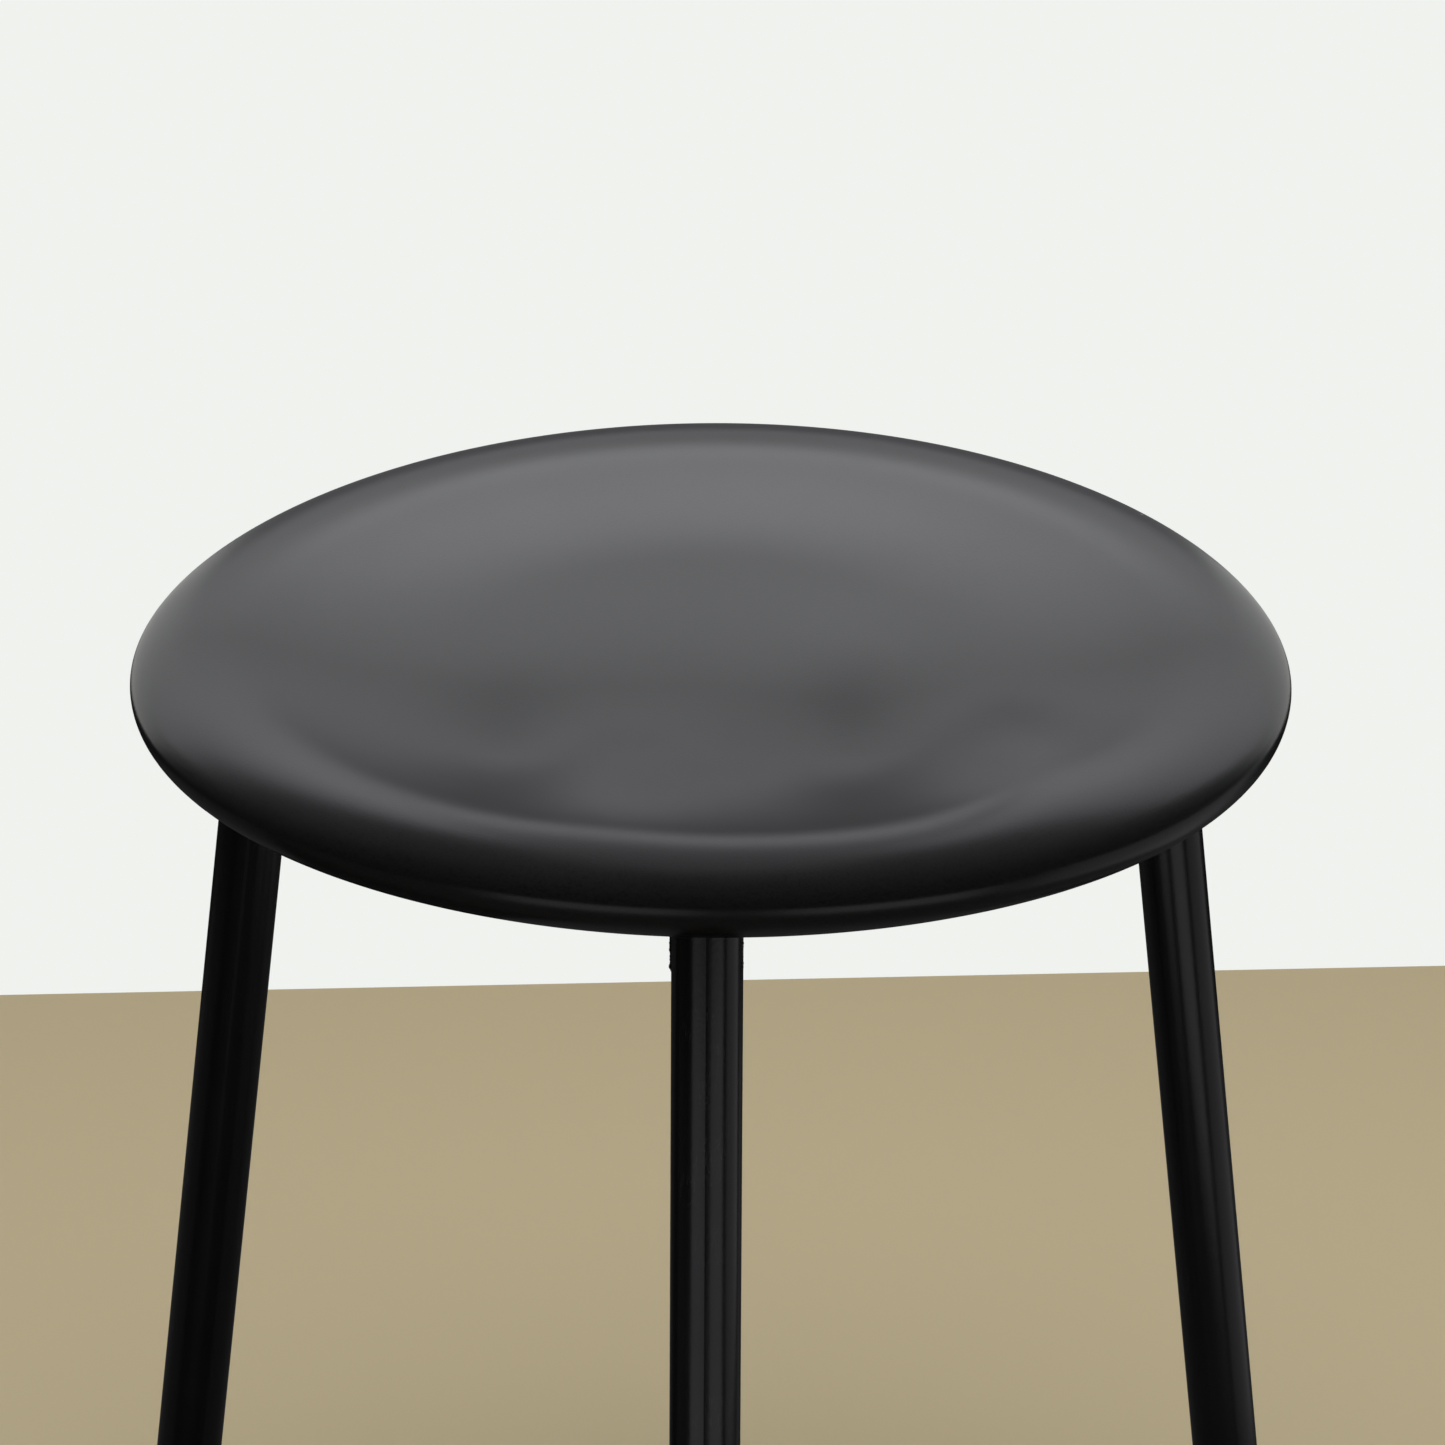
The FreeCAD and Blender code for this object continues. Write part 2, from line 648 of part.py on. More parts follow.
nodes = [
    seat_cover(),
    seat_foam(),
    seat_board(),
    tee_nuts(),
    staples("cover_staples", "cover_staple_radius", "staple_z", "cover_staple_count"),
    dust_cover(),
    staples("dust_staples", "dust_staple_radius", "dust_staple_z", "dust_staple_count"),
    *cross_rails(),
    mounting_bolts(),
    washers("spring_washers", "spring_z", "spring_outer", "spring_washer_gap"),
    washers("plain_washers", "washer_z", "washer_diameter/2"),
]
for side_name, side_turn in SIDES:
    nodes += [leg(side_name, side_turn), foot_plug(side_name, side_turn),
              foot_sole(side_name, side_turn)]
doc.recompute()

for item in doc.Objects:
    if {"Invalid", "Error"} & set(item.State):
        raise RuntimeError(f"{item.Name} ({item.Label}) did not compute: {item.State}")
for node in nodes:
    if node.Shape.isNull() or not node.Shape.isValid() or not node.Shape.Solids:
        raise RuntimeError(f"{node.Label} has no valid solid")

os.makedirs("parts", exist_ok=True)
for node in nodes:
    node.Shape.exportStep(f"parts/{node.Label}.step")
    print(f"{node.Label}: {len(node.Shape.Solids)} solids, {node.Shape.Volume / 1000:.2f} cm3")
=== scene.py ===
# %% [markdown]
# # A low round stool, finished for the camera
# The stool has a padded black seat with a shallow dish, and four straight tube legs. The frame that this
# script loads already holds every hard part at its true size and place. What is left to make is what a
# sewing table, a welding bench and a spray booth would add: the skin and foam of the seat, the cloth under
# it, the staples, the welds, and the finish of each surface.

import math

import bpy
import numpy as np
from mathutils import Matrix, Vector
from mathutils.geometry import delaunay_2d_cdt


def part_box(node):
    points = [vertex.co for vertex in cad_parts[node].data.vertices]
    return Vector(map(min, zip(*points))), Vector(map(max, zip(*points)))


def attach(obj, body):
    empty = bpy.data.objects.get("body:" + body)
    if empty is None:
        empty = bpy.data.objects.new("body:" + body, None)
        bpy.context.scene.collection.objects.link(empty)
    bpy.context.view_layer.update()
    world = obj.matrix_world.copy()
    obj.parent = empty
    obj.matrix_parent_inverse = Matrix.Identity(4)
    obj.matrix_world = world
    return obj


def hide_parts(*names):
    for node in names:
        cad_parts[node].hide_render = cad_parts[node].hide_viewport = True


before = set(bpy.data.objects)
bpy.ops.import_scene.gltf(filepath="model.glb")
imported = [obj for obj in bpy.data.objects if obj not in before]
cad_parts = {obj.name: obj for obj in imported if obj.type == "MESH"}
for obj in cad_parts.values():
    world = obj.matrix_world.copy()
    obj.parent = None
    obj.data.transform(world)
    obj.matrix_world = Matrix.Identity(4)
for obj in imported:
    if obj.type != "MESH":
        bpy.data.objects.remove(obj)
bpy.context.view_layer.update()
MM = 0.001

# %% [markdown]
# ## Sizes read from the frame
# Nothing here is measured twice. The seat's radius, the board's edge and the height of each layer under the
# seat all come from the boxes of the hard parts, so the soft parts land where the hard ones expect them.

# %% Read the main sizes
cover_low, cover_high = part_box("seat_cover")
board_low, board_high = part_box("seat_board")
cloth_low, cloth_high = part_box("dust_cover")
rail_low, rail_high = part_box("cross_rail")
leg_low, leg_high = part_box("leg_right")

SEAT_RADIUS = cover_high.x
SEAT_TOP = cover_high.z
SEAT_UNDER = cover_low.z
SKIN = board_low.z - cover_low.z            # the vinyl's thickness
TUBE_RADIUS = leg_high.y
print(f"seat {2 * SEAT_RADIUS:.3f} m across, {SEAT_TOP:.3f} m high, skin {SKIN / MM:.1f} mm")

# %% [markdown]
# ## The camera
# The seat is seen from a standing person's eye height, about two and a half metres away, through a long
# lens. A long lens keeps the near and far edges of the seat almost the same size, which is why the round
# seat reads as a clean oval.

# %% Aim the camera
EYE = Vector((0.0160, -2.3596, 1.4972))
AIM = Vector((0.0039, 0.0, 0.4168))
ROLL = math.radians(-0.306)

eye = bpy.data.objects.new("eye", bpy.data.cameras.new("eye"))
bpy.context.scene.collection.objects.link(eye)
eye.location = EYE
eye.rotation_mode = "QUATERNION"
level = (AIM - EYE).to_track_quat("-Z", "Y")
eye.rotation_quaternion = level @ Matrix.Rotation(-ROLL, 4, "Z").to_quaternion()
eye.data.sensor_width = 36.0
eye.data.lens = 196.8
eye.data.clip_end = 50.0
bpy.context.scene.camera = eye
bpy.context.scene.view_settings.view_transform = "Standard"

# %% [markdown]
# ## Node helpers
# Materials and Geometry Nodes are both graphs, so one small helper adds a node, fills its inputs and names
# what it was asked for. A second one makes the shared groups, whose inputs and outputs have names and
# defaults.

# %% Helpers for node graphs
def add(tree, kind, inputs=None, **settings):
    """A new node. inputs maps a socket's name or number to a value, or to the socket that feeds it."""
    node = tree.nodes.new(kind)
    for name, value in settings.items():
        setattr(node, name, value)
    for name, value in (inputs or {}).items():
        if isinstance(value, bpy.types.NodeSocket):
            tree.links.new(value, node.inputs[name])
        else:
            node.inputs[name].default_value = value
    return node


def maths(tree, operation, *values):
    """One Math node: its values are numbers or sockets."""
    return add(tree, "ShaderNodeMath", dict(enumerate(values)), operation=operation).outputs[0]


def group(name, kind, inputs, outputs):
    """A node group with named sockets. inputs maps a name to (socket type, default value)."""
    tree = bpy.data.node_groups.new(name, kind)
    for label, (socket, value) in inputs.items():
        made = tree.interface.new_socket(label, in_out="INPUT", socket_type=f"NodeSocket{socket}")
        if value is not None:
            made.default_value = value
    for label, socket in outputs.items():
        tree.interface.new_socket(label, in_out="OUTPUT", socket_type=f"NodeSocket{socket}")
    return tree, tree.nodes.new("NodeGroupInput").outputs, tree.nodes.new("NodeGroupOutput").inputs


def place_group(tree, shared, **values):
    """Places a shared group in a material. Underscores in the names given stand for spaces."""
    node = tree.nodes.new("ShaderNodeGroup")
    node.node_tree = shared
    for name, value in values.items():
        socket = node.inputs[name.replace("_", " ")]
        if isinstance(value, bpy.types.NodeSocket):
            tree.links.new(value, socket)
        else:
            socket.default_value = value
    return node.outputs


# %% [markdown]
# ## Shared surface effects
# Four effects turn up on more than one material, so each is built once as a group:
# - *pebble grain*: the tiny rounded cells that an embossing roller leaves in coated fabric and moulded
#   rubber;
# - *blotches*: a slow drift in tone and gloss, which no real surface is without;
# - *specks*: sparse flecks of lint and grit;
# - *scratches*: fine hairlines, mostly along one direction.
# A group only hands out masks and heights. The Principled shader stays in each material, where exporters
# see it.

# %% Pebble grain
def make_pebble_grain():
    tree, given, out = group(
        "Pebble grain", "ShaderNodeTree",
        {"Position": ("Vector", None), "Cell Size": ("Float", 0.0007), "Softness": ("Float", 0.5)},
        {"Height": "Float", "Creases": "Float"})
    scale = maths(tree, "DIVIDE", 1.0, given["Cell Size"])
    wobble = add(tree, "ShaderNodeTexNoise", {"Vector": given["Position"], "Scale": scale, "Detail": 1.0})
    shift = add(tree, "ShaderNodeVectorMath", {0: wobble.outputs["Color"], 1: (0.5, 0.5, 0.5)},
                operation="SUBTRACT")
    small = add(tree, "ShaderNodeVectorMath", {0: shift.outputs[0], "Scale": given["Cell Size"]},
                operation="SCALE")
    moved = add(tree, "ShaderNodeVectorMath", {0: given["Position"], 1: small.outputs[0]}, operation="ADD")
    cells = add(tree, "ShaderNodeTexVoronoi", {"Vector": moved.outputs[0], "Scale": scale},
                feature="SMOOTH_F1")
    tree.links.new(given["Softness"], cells.inputs["Smoothness"])
    dome = maths(tree, "SUBTRACT", 1.0, cells.outputs["Distance"])
    tree.links.new(dome, out["Height"])
    # Creases marks the low edges between cells; the vinyl and the foam paint shade with it
    crease = add(tree, "ShaderNodeMapRange", {"Value": cells.outputs["Distance"], "From Min": 0.45,
                                              "From Max": 0.75})
    tree.links.new(crease.outputs[0], out["Creases"])
    return tree


PEBBLES = make_pebble_grain()

# %% Blotches
def make_blotches():
    tree, given, out = group(
        "Blotches", "ShaderNodeTree",
        {"Position": ("Vector", None), "Size": ("Float", 0.05), "Contrast": ("Float", 1.0)},
        {"Mask": "Float"})
    scale = maths(tree, "DIVIDE", 1.0, given["Size"])
    drift = add(tree, "ShaderNodeTexNoise", {"Vector": given["Position"], "Scale": scale, "Detail": 4.0,
                                             "Roughness": 0.6})
    centred = maths(tree, "SUBTRACT", drift.outputs[0], 0.5)
    spread = maths(tree, "MULTIPLY", centred, given["Contrast"])
    lifted = maths(tree, "ADD", spread, 0.5)
    tree.links.new(add(tree, "ShaderNodeClamp", {0: lifted}).outputs[0], out["Mask"])
    return tree


BLOTCHES = make_blotches()

# %% Specks
def make_specks():
    tree, given, out = group(
        "Specks", "ShaderNodeTree",
        {"Position": ("Vector", None), "Spacing": ("Float", 0.03), "Speck Size": ("Float", 0.0006),
         "Share": ("Float", 0.5)},
        {"Mask": "Float"})
    scale = maths(tree, "DIVIDE", 1.0, given["Spacing"])
    cells = add(tree, "ShaderNodeTexVoronoi", {"Vector": given["Position"], "Scale": scale})
    distance = maths(tree, "MULTIPLY", cells.outputs["Distance"], given["Spacing"])
    near = maths(tree, "LESS_THAN", distance, given["Speck Size"])
    lot = add(tree, "ShaderNodeSeparateColor", {0: cells.outputs["Color"]})
    chosen = maths(tree, "LESS_THAN", lot.outputs[0], given["Share"])
    tree.links.new(maths(tree, "MULTIPLY", near, chosen), out["Mask"])
    return tree


SPECKS = make_specks()

# %% Scratches
def make_scratches():
    tree, given, out = group(
        "Scratches", "ShaderNodeTree",
        {"Position": ("Vector", None), "Across": ("Float", 0.002), "Along": ("Float", 0.05),
         "Amount": ("Float", 0.3)},
        {"Mask": "Float"})
    across = maths(tree, "DIVIDE", 1.0, given["Across"])
    along = maths(tree, "DIVIDE", 1.0, given["Along"])
    stretch = add(tree, "ShaderNodeCombineXYZ", {0: across, 1: across, 2: along})
    drawn = add(tree, "ShaderNodeVectorMath", {0: given["Position"], 1: stretch.outputs[0]},
                operation="MULTIPLY")
    lines = add(tree, "ShaderNodeTexNoise", {"Vector": drawn.outputs[0], "Scale": 1.0, "Detail": 2.0})
    off_middle = maths(tree, "ABSOLUTE", maths(tree, "SUBTRACT", lines.outputs[0], 0.5))
    thin = add(tree, "ShaderNodeMapRange", {"Value": off_middle, "From Min": 0.0, "From Max": 0.012,
                                            "To Min": 1.0, "To Max": 0.0})
    patches = add(tree, "ShaderNodeTexNoise", {"Vector": given["Position"], "Scale": along})
    where = maths(tree, "LESS_THAN", patches.outputs[0], given["Amount"])
    tree.links.new(maths(tree, "MULTIPLY", thin.outputs[0], where), out["Mask"])
    return tree


SCRATCHES = make_scratches()
print("shared effects:", [g.name for g in (PEBBLES, BLOTCHES, SPECKS, SCRATCHES)])

# %% [markdown]
# ## Materials
# Each finish starts from the same few nodes: the Principled shader, an Object coordinate that is in metres,
# and a Bump node. Black things are hard to light, because almost all of what one sees on them is gloss. So
# the colours stay nearly black and the roughness carries the character.

# %% A starting point for every material
class Finish:
    """A material with its shader, an object position in metres, and a few ways to mix masks."""

    def __init__(self, name, color, roughness, metallic=0.0):
        self.material = bpy.data.materials.new(name)
        self.material.use_nodes = True
        self.tree = self.material.node_tree
        self.shader = self.tree.nodes["Principled BSDF"]
        self.shader.inputs["Base Color"].default_value = (*color, 1.0)
        self.shader.inputs["Roughness"].default_value = roughness
        self.shader.inputs["Metallic"].default_value = metallic
        self.here = self.tree.nodes.new("ShaderNodeTexCoord").outputs["Object"]
        self.material.diffuse_color = (*color, 1.0)

    def use(self, shared, **values):
        values.setdefault("Position", self.here)
        return place_group(self.tree, shared, **values)

    def mix(self, mask, low, high):
        """A colour that goes from low to high with the mask. Each is a colour or a socket."""
        node = self.tree.nodes.new("ShaderNodeMix")
        node.data_type = "RGBA"
        self.tree.links.new(mask, node.inputs[0])
        for number, value in ((6, low), (7, high)):
            if isinstance(value, bpy.types.NodeSocket):
                self.tree.links.new(value, node.inputs[number])
            else:
                node.inputs[number].default_value = (*value, 1.0)
        return node.outputs[2]

    def between(self, mask, low, high):
        """A number that goes from low to high as the mask goes from 0 to 1."""
        return add(self.tree, "ShaderNodeMapRange",
                   {"Value": mask, "To Min": low, "To Max": high}).outputs[0]

    def feed(self, **sockets):
        for name, socket in sockets.items():
            self.tree.links.new(socket, self.shader.inputs[name.replace("_", " ")])

    def bump(self, height, distance, strength=1.0, under=None):
        """Raises the surface by height times distance, on top of another bump's normal if given."""
        node = add(self.tree, "ShaderNodeBump",
                   {"Height": height, "Distance": distance, "Strength": strength})
        if under:
            self.tree.links.new(under, node.inputs["Normal"])
        self.tree.links.new(node.outputs[0], self.shader.inputs["Normal"])
        return node.outputs[0]


# %% Seat vinyl
def seat_vinyl():
    """Black coated fabric: a fine pebble grain, a soft satin face and a little lint."""
    vinyl = Finish("seat_vinyl", (0.0075, 0.0075, 0.008), 0.44)
    drift = vinyl.use(BLOTCHES, Size=0.06, Contrast=1.4)["Mask"]
    grain = vinyl.use(PEBBLES, Cell_Size=0.00075, Softness=0.6)
    lint = vinyl.use(SPECKS, Spacing=0.045, Speck_Size=0.00045, Share=0.25)["Mask"]
    black = vinyl.mix(drift, (0.0065, 0.0065, 0.007), (0.009, 0.009, 0.0095))
    # painted shade: the base colour is darker in the grain's creases, between its cells
    crease_shaded = vinyl.mix(grain["Creases"], black, (0.005, 0.005, 0.0055))
    rough = vinyl.between(drift, 0.27, 0.31)
    vinyl.feed(Base_Color=vinyl.mix(lint, crease_shaded, (0.4, 0.4, 0.38)), Roughness=rough)
    vinyl.bump(grain["Height"], 0.000012)
    vinyl.shader.inputs["Specular IOR Level"].default_value = 0.4
    return vinyl.material


# %% Cut foam
def cut_foam():
    """Moulded polyurethane foam: cream, matt and open-celled."""
    foam = Finish("cut_foam", (0.75, 0.72, 0.62), 0.95)
    pores = foam.use(PEBBLES, Cell_Size=0.0012, Softness=0.1)
    drift = foam.use(BLOTCHES, Size=0.03, Contrast=1.5)["Mask"]
    aged = foam.mix(drift, (0.78, 0.75, 0.66), (0.70, 0.64, 0.50))
    # painted shade: the foam is darker in its pores, at the low edges of the grain's cells
    foam.feed(Base_Color=foam.mix(pores["Creases"], aged, (0.42, 0.38, 0.28)))
    foam.bump(pores["Height"], 0.0004)
    return foam.material


# %% Birch plywood
def birch_plywood():
    """Plywood: fine straight grain on the faces and dark and light veneers at the edge."""
    wood = Finish("birch_plywood", (0.62, 0.46, 0.29), 0.6)
    veneers = add(wood.tree, "ShaderNodeMapping", {"Vector": wood.here, "Scale": (0.0, 0.0, 1.0)})
    layers = add(wood.tree, "ShaderNodeTexWave", {"Vector": veneers.outputs[0], "Scale": 100.0},
                 bands_direction="Z")
    stretched = add(wood.tree, "ShaderNodeMapping", {"Vector": wood.here, "Scale": (12.0, 260.0, 60.0)})
    fibres = add(wood.tree, "ShaderNodeTexNoise", {"Vector": stretched.outputs[0], "Scale": 1.0,
                                                   "Detail": 5.0})
    light = wood.mix(fibres.outputs[0], (0.70, 0.53, 0.35), (0.52, 0.37, 0.21))
    wood.feed(Base_Color=wood.mix(layers.outputs[0], light, wood.mix(
        fibres.outputs[0], (0.60, 0.44, 0.27), (0.45, 0.31, 0.18))))
    wood.bump(fibres.outputs[0], 0.0002)
    return wood.material


# %% Zinc plate and staple wire
def zinc_plate(name, roughness):
    """Bright plated steel: a crystalline drift in tone and fine marks from handling."""
    zinc = Finish(name, (0.62, 0.62, 0.60), roughness, metallic=1.0)
    drift = zinc.use(BLOTCHES, Size=0.004, Contrast=2.0)["Mask"]
    marks = zinc.use(SCRATCHES, Across=0.0006, Along=0.004, Amount=0.55)["Mask"]
    tone = zinc.mix(drift, (0.66, 0.66, 0.64), (0.52, 0.53, 0.53))
    zinc.feed(Base_Color=zinc.mix(marks, tone, (0.40, 0.40, 0.39)),
              Roughness=zinc.between(drift, roughness - 0.06, roughness + 0.10))
    zinc.bump(marks, 0.00003)
    return zinc.material


# %% Black powder coat
def powder_coat(name="powder_coat"):
    """Satin black powder: an even gloss broken by a fine orange-peel skin and a few rubs."""
    paint = Finish(name, (0.0042, 0.0042, 0.0050), 0.25)
    peel = add(paint.tree, "ShaderNodeTexNoise", {"Vector": paint.here, "Scale": 700.0, "Detail": 2.0})
    drift = paint.use(BLOTCHES, Size=0.03, Contrast=1.5)["Mask"]
    rubs = paint.use(SCRATCHES, Across=0.0016, Along=0.03, Amount=0.36)["Mask"]
    dust = paint.use(SPECKS, Spacing=0.02, Speck_Size=0.0003, Share=0.3)["Mask"]
    black = paint.mix(drift, (0.0036, 0.0035, 0.0042), (0.0048, 0.0047, 0.0058))
    rubbed = paint.mix(rubs, black, (0.020, 0.020, 0.022))
    paint.feed(Base_Color=paint.mix(dust, rubbed, (0.12, 0.12, 0.12)),
               Roughness=paint.between(drift, 0.20, 0.28))
    paint.bump(peel.outputs[0], 0.00003)
    return paint.material


# %% Non-woven cloth
def spunbond_cloth():
    """Black non-woven cloth: loose fibres pressed together in a grid of small dots."""
    cloth = Finish("spunbond_cloth", (0.035, 0.035, 0.035), 0.85)
    fibres = cloth.use(SCRATCHES, Across=0.0005, Along=0.0009, Amount=0.75)["Mask"]
    drift = cloth.use(BLOTCHES, Size=0.02, Contrast=1.6)["Mask"]
    dots = add(cloth.tree, "ShaderNodeTexVoronoi",
               {"Vector": cloth.here, "Scale": 500.0, "Randomness": 0.0}, voronoi_dimensions="2D")
    pressed = add(cloth.tree, "ShaderNodeMapRange", {"Value": dots.outputs["Distance"], "From Min": 0.20,
                                                     "From Max": 0.34}).outputs[0]
    black = cloth.mix(drift, (0.022, 0.022, 0.023), (0.036, 0.036, 0.037))
    cloth.feed(Base_Color=cloth.mix(fibres, black, (0.075, 0.075, 0.075)),
               Roughness=cloth.between(pressed, 0.62, 0.9))
    cloth.shader.inputs["Sheen Weight"].default_value = 0.3
    woven = cloth.bump(fibres, 0.00008)
    cloth.bump(pressed, 0.00015, under=woven)
    return cloth.material


# %% Moulded nylon and sole rubber
def moulded(name, color, roughness, cell, depth):
    """A moulded black part: a spark-eroded grain, paler and duller where the floor has scuffed it."""
    part = Finish(name, color, roughness)
    grain = part.use(PEBBLES, Cell_Size=cell, Softness=0.4)
    drift = part.use(BLOTCHES, Size=0.006, Contrast=2.0)["Mask"]
    height = add(part.tree, "ShaderNodeSeparateXYZ", {0: part.here}).outputs[2]
    low = add(part.tree, "ShaderNodeMapRange", {"Value": height, "From Min": 0.0, "From Max": 4 * MM,
                                                "To Min": 1.0, "To Max": 0.0}).outputs[0]
    scuffed = maths(part.tree, "MULTIPLY", low, drift)
    part.feed(Base_Color=part.mix(scuffed, color, (0.16, 0.15, 0.135)),
              Roughness=part.between(drift, roughness - 0.08, roughness + 0.08))
    part.bump(grain["Height"], depth)
    return part.material


# %% Give every hard part its finish
VINYL = seat_vinyl()
FOAM = cut_foam()
CLOTH = spunbond_cloth()
STAPLE_WIRE = zinc_plate("staple_wire", 0.38)
PAINT = powder_coat()
SIDES = {"front": -90, "right": 0, "back": 90, "left": 180}

finishes = {
    "seat_board": birch_plywood(),
    "tee_nuts": zinc_plate("zinc_fasteners", 0.30),
    "cross_rail": PAINT,
    "half_rail_front": PAINT,
    "half_rail_back": PAINT,
}
finishes["mounting_bolts"] = finishes["spring_washers"] = finishes["plain_washers"] = finishes["tee_nuts"]
nylon = moulded("foot_nylon", (0.022, 0.022, 0.022), 0.5, 0.0006, 0.00003)
rubber = moulded("sole_rubber", (0.03, 0.03, 0.03), 0.75, 0.0009, 0.00006)
for side in SIDES:
    finishes[f"leg_{side}"] = PAINT
    finishes[f"foot_plug_{side}"] = nylon
    finishes[f"foot_sole_{side}"] = rubber

for node, material in finishes.items():
    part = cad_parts[node]
    part.data.materials.clear()
    part.data.materials.append(material)
print("hard parts finished:", len(finishes))

# %% [markdown]
# ## The seat's section
# The seat is a disc of moulded foam over a plywood board, with one sheet of vinyl pulled over it. Its
# section runs from the middle of the dish up to a rolled crest, round a blunt nose, and back under in one
# long curve. Turning that section about the stool's axis gives the shape. A lathe of the Screw modifier
# could do it, but turning it in code leaves each point's radius and angle at hand, and the next step needs
# them to make the pad less than perfect.

# %% Draw the section
WIDEST_DROP = 12.6 * MM                 # from the stool's top down to the seat's widest line
CREST_RISE = 11.0 * MM                  # from there up to the crest, before the pad is shaped
NOSE_WIDTH = 24 * MM                    # from the widest line in to the crest
UNDER_WIDTH = 38 * MM                   # from the widest line in to the flat underside
HEM_LAP = 12 * MM                       # how much of the hem the cloth hides

EQUATOR = SEAT_TOP - WIDEST_DROP
UNDER_DROP = EQUATOR - SEAT_UNDER
CREST_HEIGHT = EQUATOR + CREST_RISE
CREST_RADIUS = SEAT_RADIUS - NOSE_WIDTH
UNDER_RADIUS = SEAT_RADIUS - UNDER_WIDTH
HEM_RADIUS = cloth_high.x - HEM_LAP
DISH_RADII = [0, 0.085, 0.120, 0.150, CREST_RADIUS]
DISH_DEGREES = [0, 1.6, 8.0, 13.5, 0]   # how steeply the dish rises at each of those radii


def dish_height(radius):
    """The top face inside the crest, found by running down its slope from the crest inwards."""
    slope = np.tan(np.radians(np.interp(radius, DISH_RADII, DISH_DEGREES)))
    rise = np.concatenate([[0], np.cumsum((slope[1:] + slope[:-1]) / 2 * np.diff(radius))])
    return CREST_HEIGHT - (rise[-1] - rise)


def outer_section(steps=26):
    """Points (radius, height) of the skin's outer face, from the middle of the dish to the hem."""
    dish = np.linspace(0, CREST_RADIUS, 3 * steps)
    quarter = np.linspace(0, math.pi / 2, steps)[1:]
    nose_r = CREST_RADIUS + NOSE_WIDTH * np.sin(quarter)
    nose_z = EQUATOR + CREST_RISE * np.cos(quarter)
    under_r = UNDER_RADIUS + UNDER_WIDTH * np.cos(quarter)
    under_z = EQUATOR - UNDER_DROP * np.sin(quarter)
    hem_r = np.linspace(UNDER_RADIUS, HEM_RADIUS, 10)[1:]
    radius = np.concatenate([dish, nose_r, under_r, hem_r])
    height = np.concatenate([dish_height(dish), nose_z, under_z, np.full(len(hem_r), SEAT_UNDER)])
    return np.stack([radius, height], axis=1)


def eased(section, passes=4):
    """Lets each point of a section drift towards its neighbours, so that curves meet without a crease."""
    for _ in range(passes):
        section[1:-1] += 0.25 * (section[:-2] + section[2:] - 2 * section[1:-1])
    return section


SECTION = eased(outer_section())
print("section points:", len(SECTION))

# %% [markdown]
# ## What makes the pad real
# Foam is glued and pulled down by hand, so the pad isn't a perfect lathe shape. Three things are added:
# - a slight saddle: the sides sit lower than the front and back, because the cover was pulled tightest
#   there;
# - broad soft swells and hollows on the dish's front slope, which catch the light as bright and dim
#   patches;
# - small gathers under the seat, where a flat sheet has to shrink into a smaller ring of staples.

# %% Shape the pad
SADDLE = (-0.0143, 0.0043)              # cosine and sine parts of twice the angle
SWELLS = [                # centre (x, y), half-width, reach inwards and outwards, height: all in mm
    (-26, -92, 25, 42, 42, 3.2),
    (94, -74, 27, 50, 50, 4.6),
    (45, -58, 25, 60, 46, -4.8),
    (-64, -66, 24, 50, 42, -2.8),
]
HELD_RADIUS, HELD_BAND = 0.150, 0.035   # inside this radius the board holds the underside flat
GATHER_COUNT = 72
GATHER_DEPTH = 0.9 * MM
GATHERS_END, GATHERS_FADE = 0.168, 0.030        # the radius where gathers have died away, and over how much
GATHERS_START, GATHERS_RISE = 0.131, 0.006      # inside this radius the cloth presses on them
GATHERS_PRESSED = 0.28                  # what share of their depth is left there
LEG_GUARD, LEG_FADE = 9.0, 5.0          # degrees each side of a leg that stay flat, and where gathers return


def saddle(radius, angle, under):
    """How far the pad is lifted: full on top, fading out under the seat, where the board holds it flat."""
    lift = radius ** 2 / SEAT_RADIUS * (SADDLE[0] * np.cos(2 * angle) + SADDLE[1] * np.sin(2 * angle))
    held = np.clip((radius - HELD_RADIUS) / HELD_BAND, 0, 1)
    return lift * np.where(under, held, 1.0)


def swells(radius, angle):
    """Low swells and hollows on the dish's front slope."""
    x, y = radius * np.cos(angle) / MM, radius * np.sin(angle) / MM
    lift = np.zeros_like(radius)
    for at_x, at_y, width, inwards, outwards, height in SWELLS:
        away = (y - at_y) / np.where(y > at_y, inwards, outwards)
        lift += height * MM * np.exp(-((x - at_x) / width) ** 2 - away ** 2)
    return lift


def gathers(radius, angle):
    """Small folds of the hem, deepest near its edge and none where a leg presses on it."""
    uneven = 0.9 * np.sin(5 * angle + 1) + 0.6 * np.sin(11 * angle + 2)
    fold = 0.5 + 0.5 * np.cos(GATHER_COUNT * angle + uneven)
    size = 0.55 + 0.45 * np.sin(7 * angle + 0.4) * np.sin(3 * angle)
    near_hem = np.clip((GATHERS_END - radius) / GATHERS_FADE, 0, 1)
    near_hem *= np.clip((radius - GATHERS_START) / GATHERS_RISE, GATHERS_PRESSED, 1)
    to_leg = np.abs((np.degrees(angle) + 45) % 90 - 45)
    clear = np.clip((to_leg - LEG_GUARD) / LEG_FADE, 0, 1)
    return -GATHER_DEPTH * fold ** 2 * size * near_hem * clear


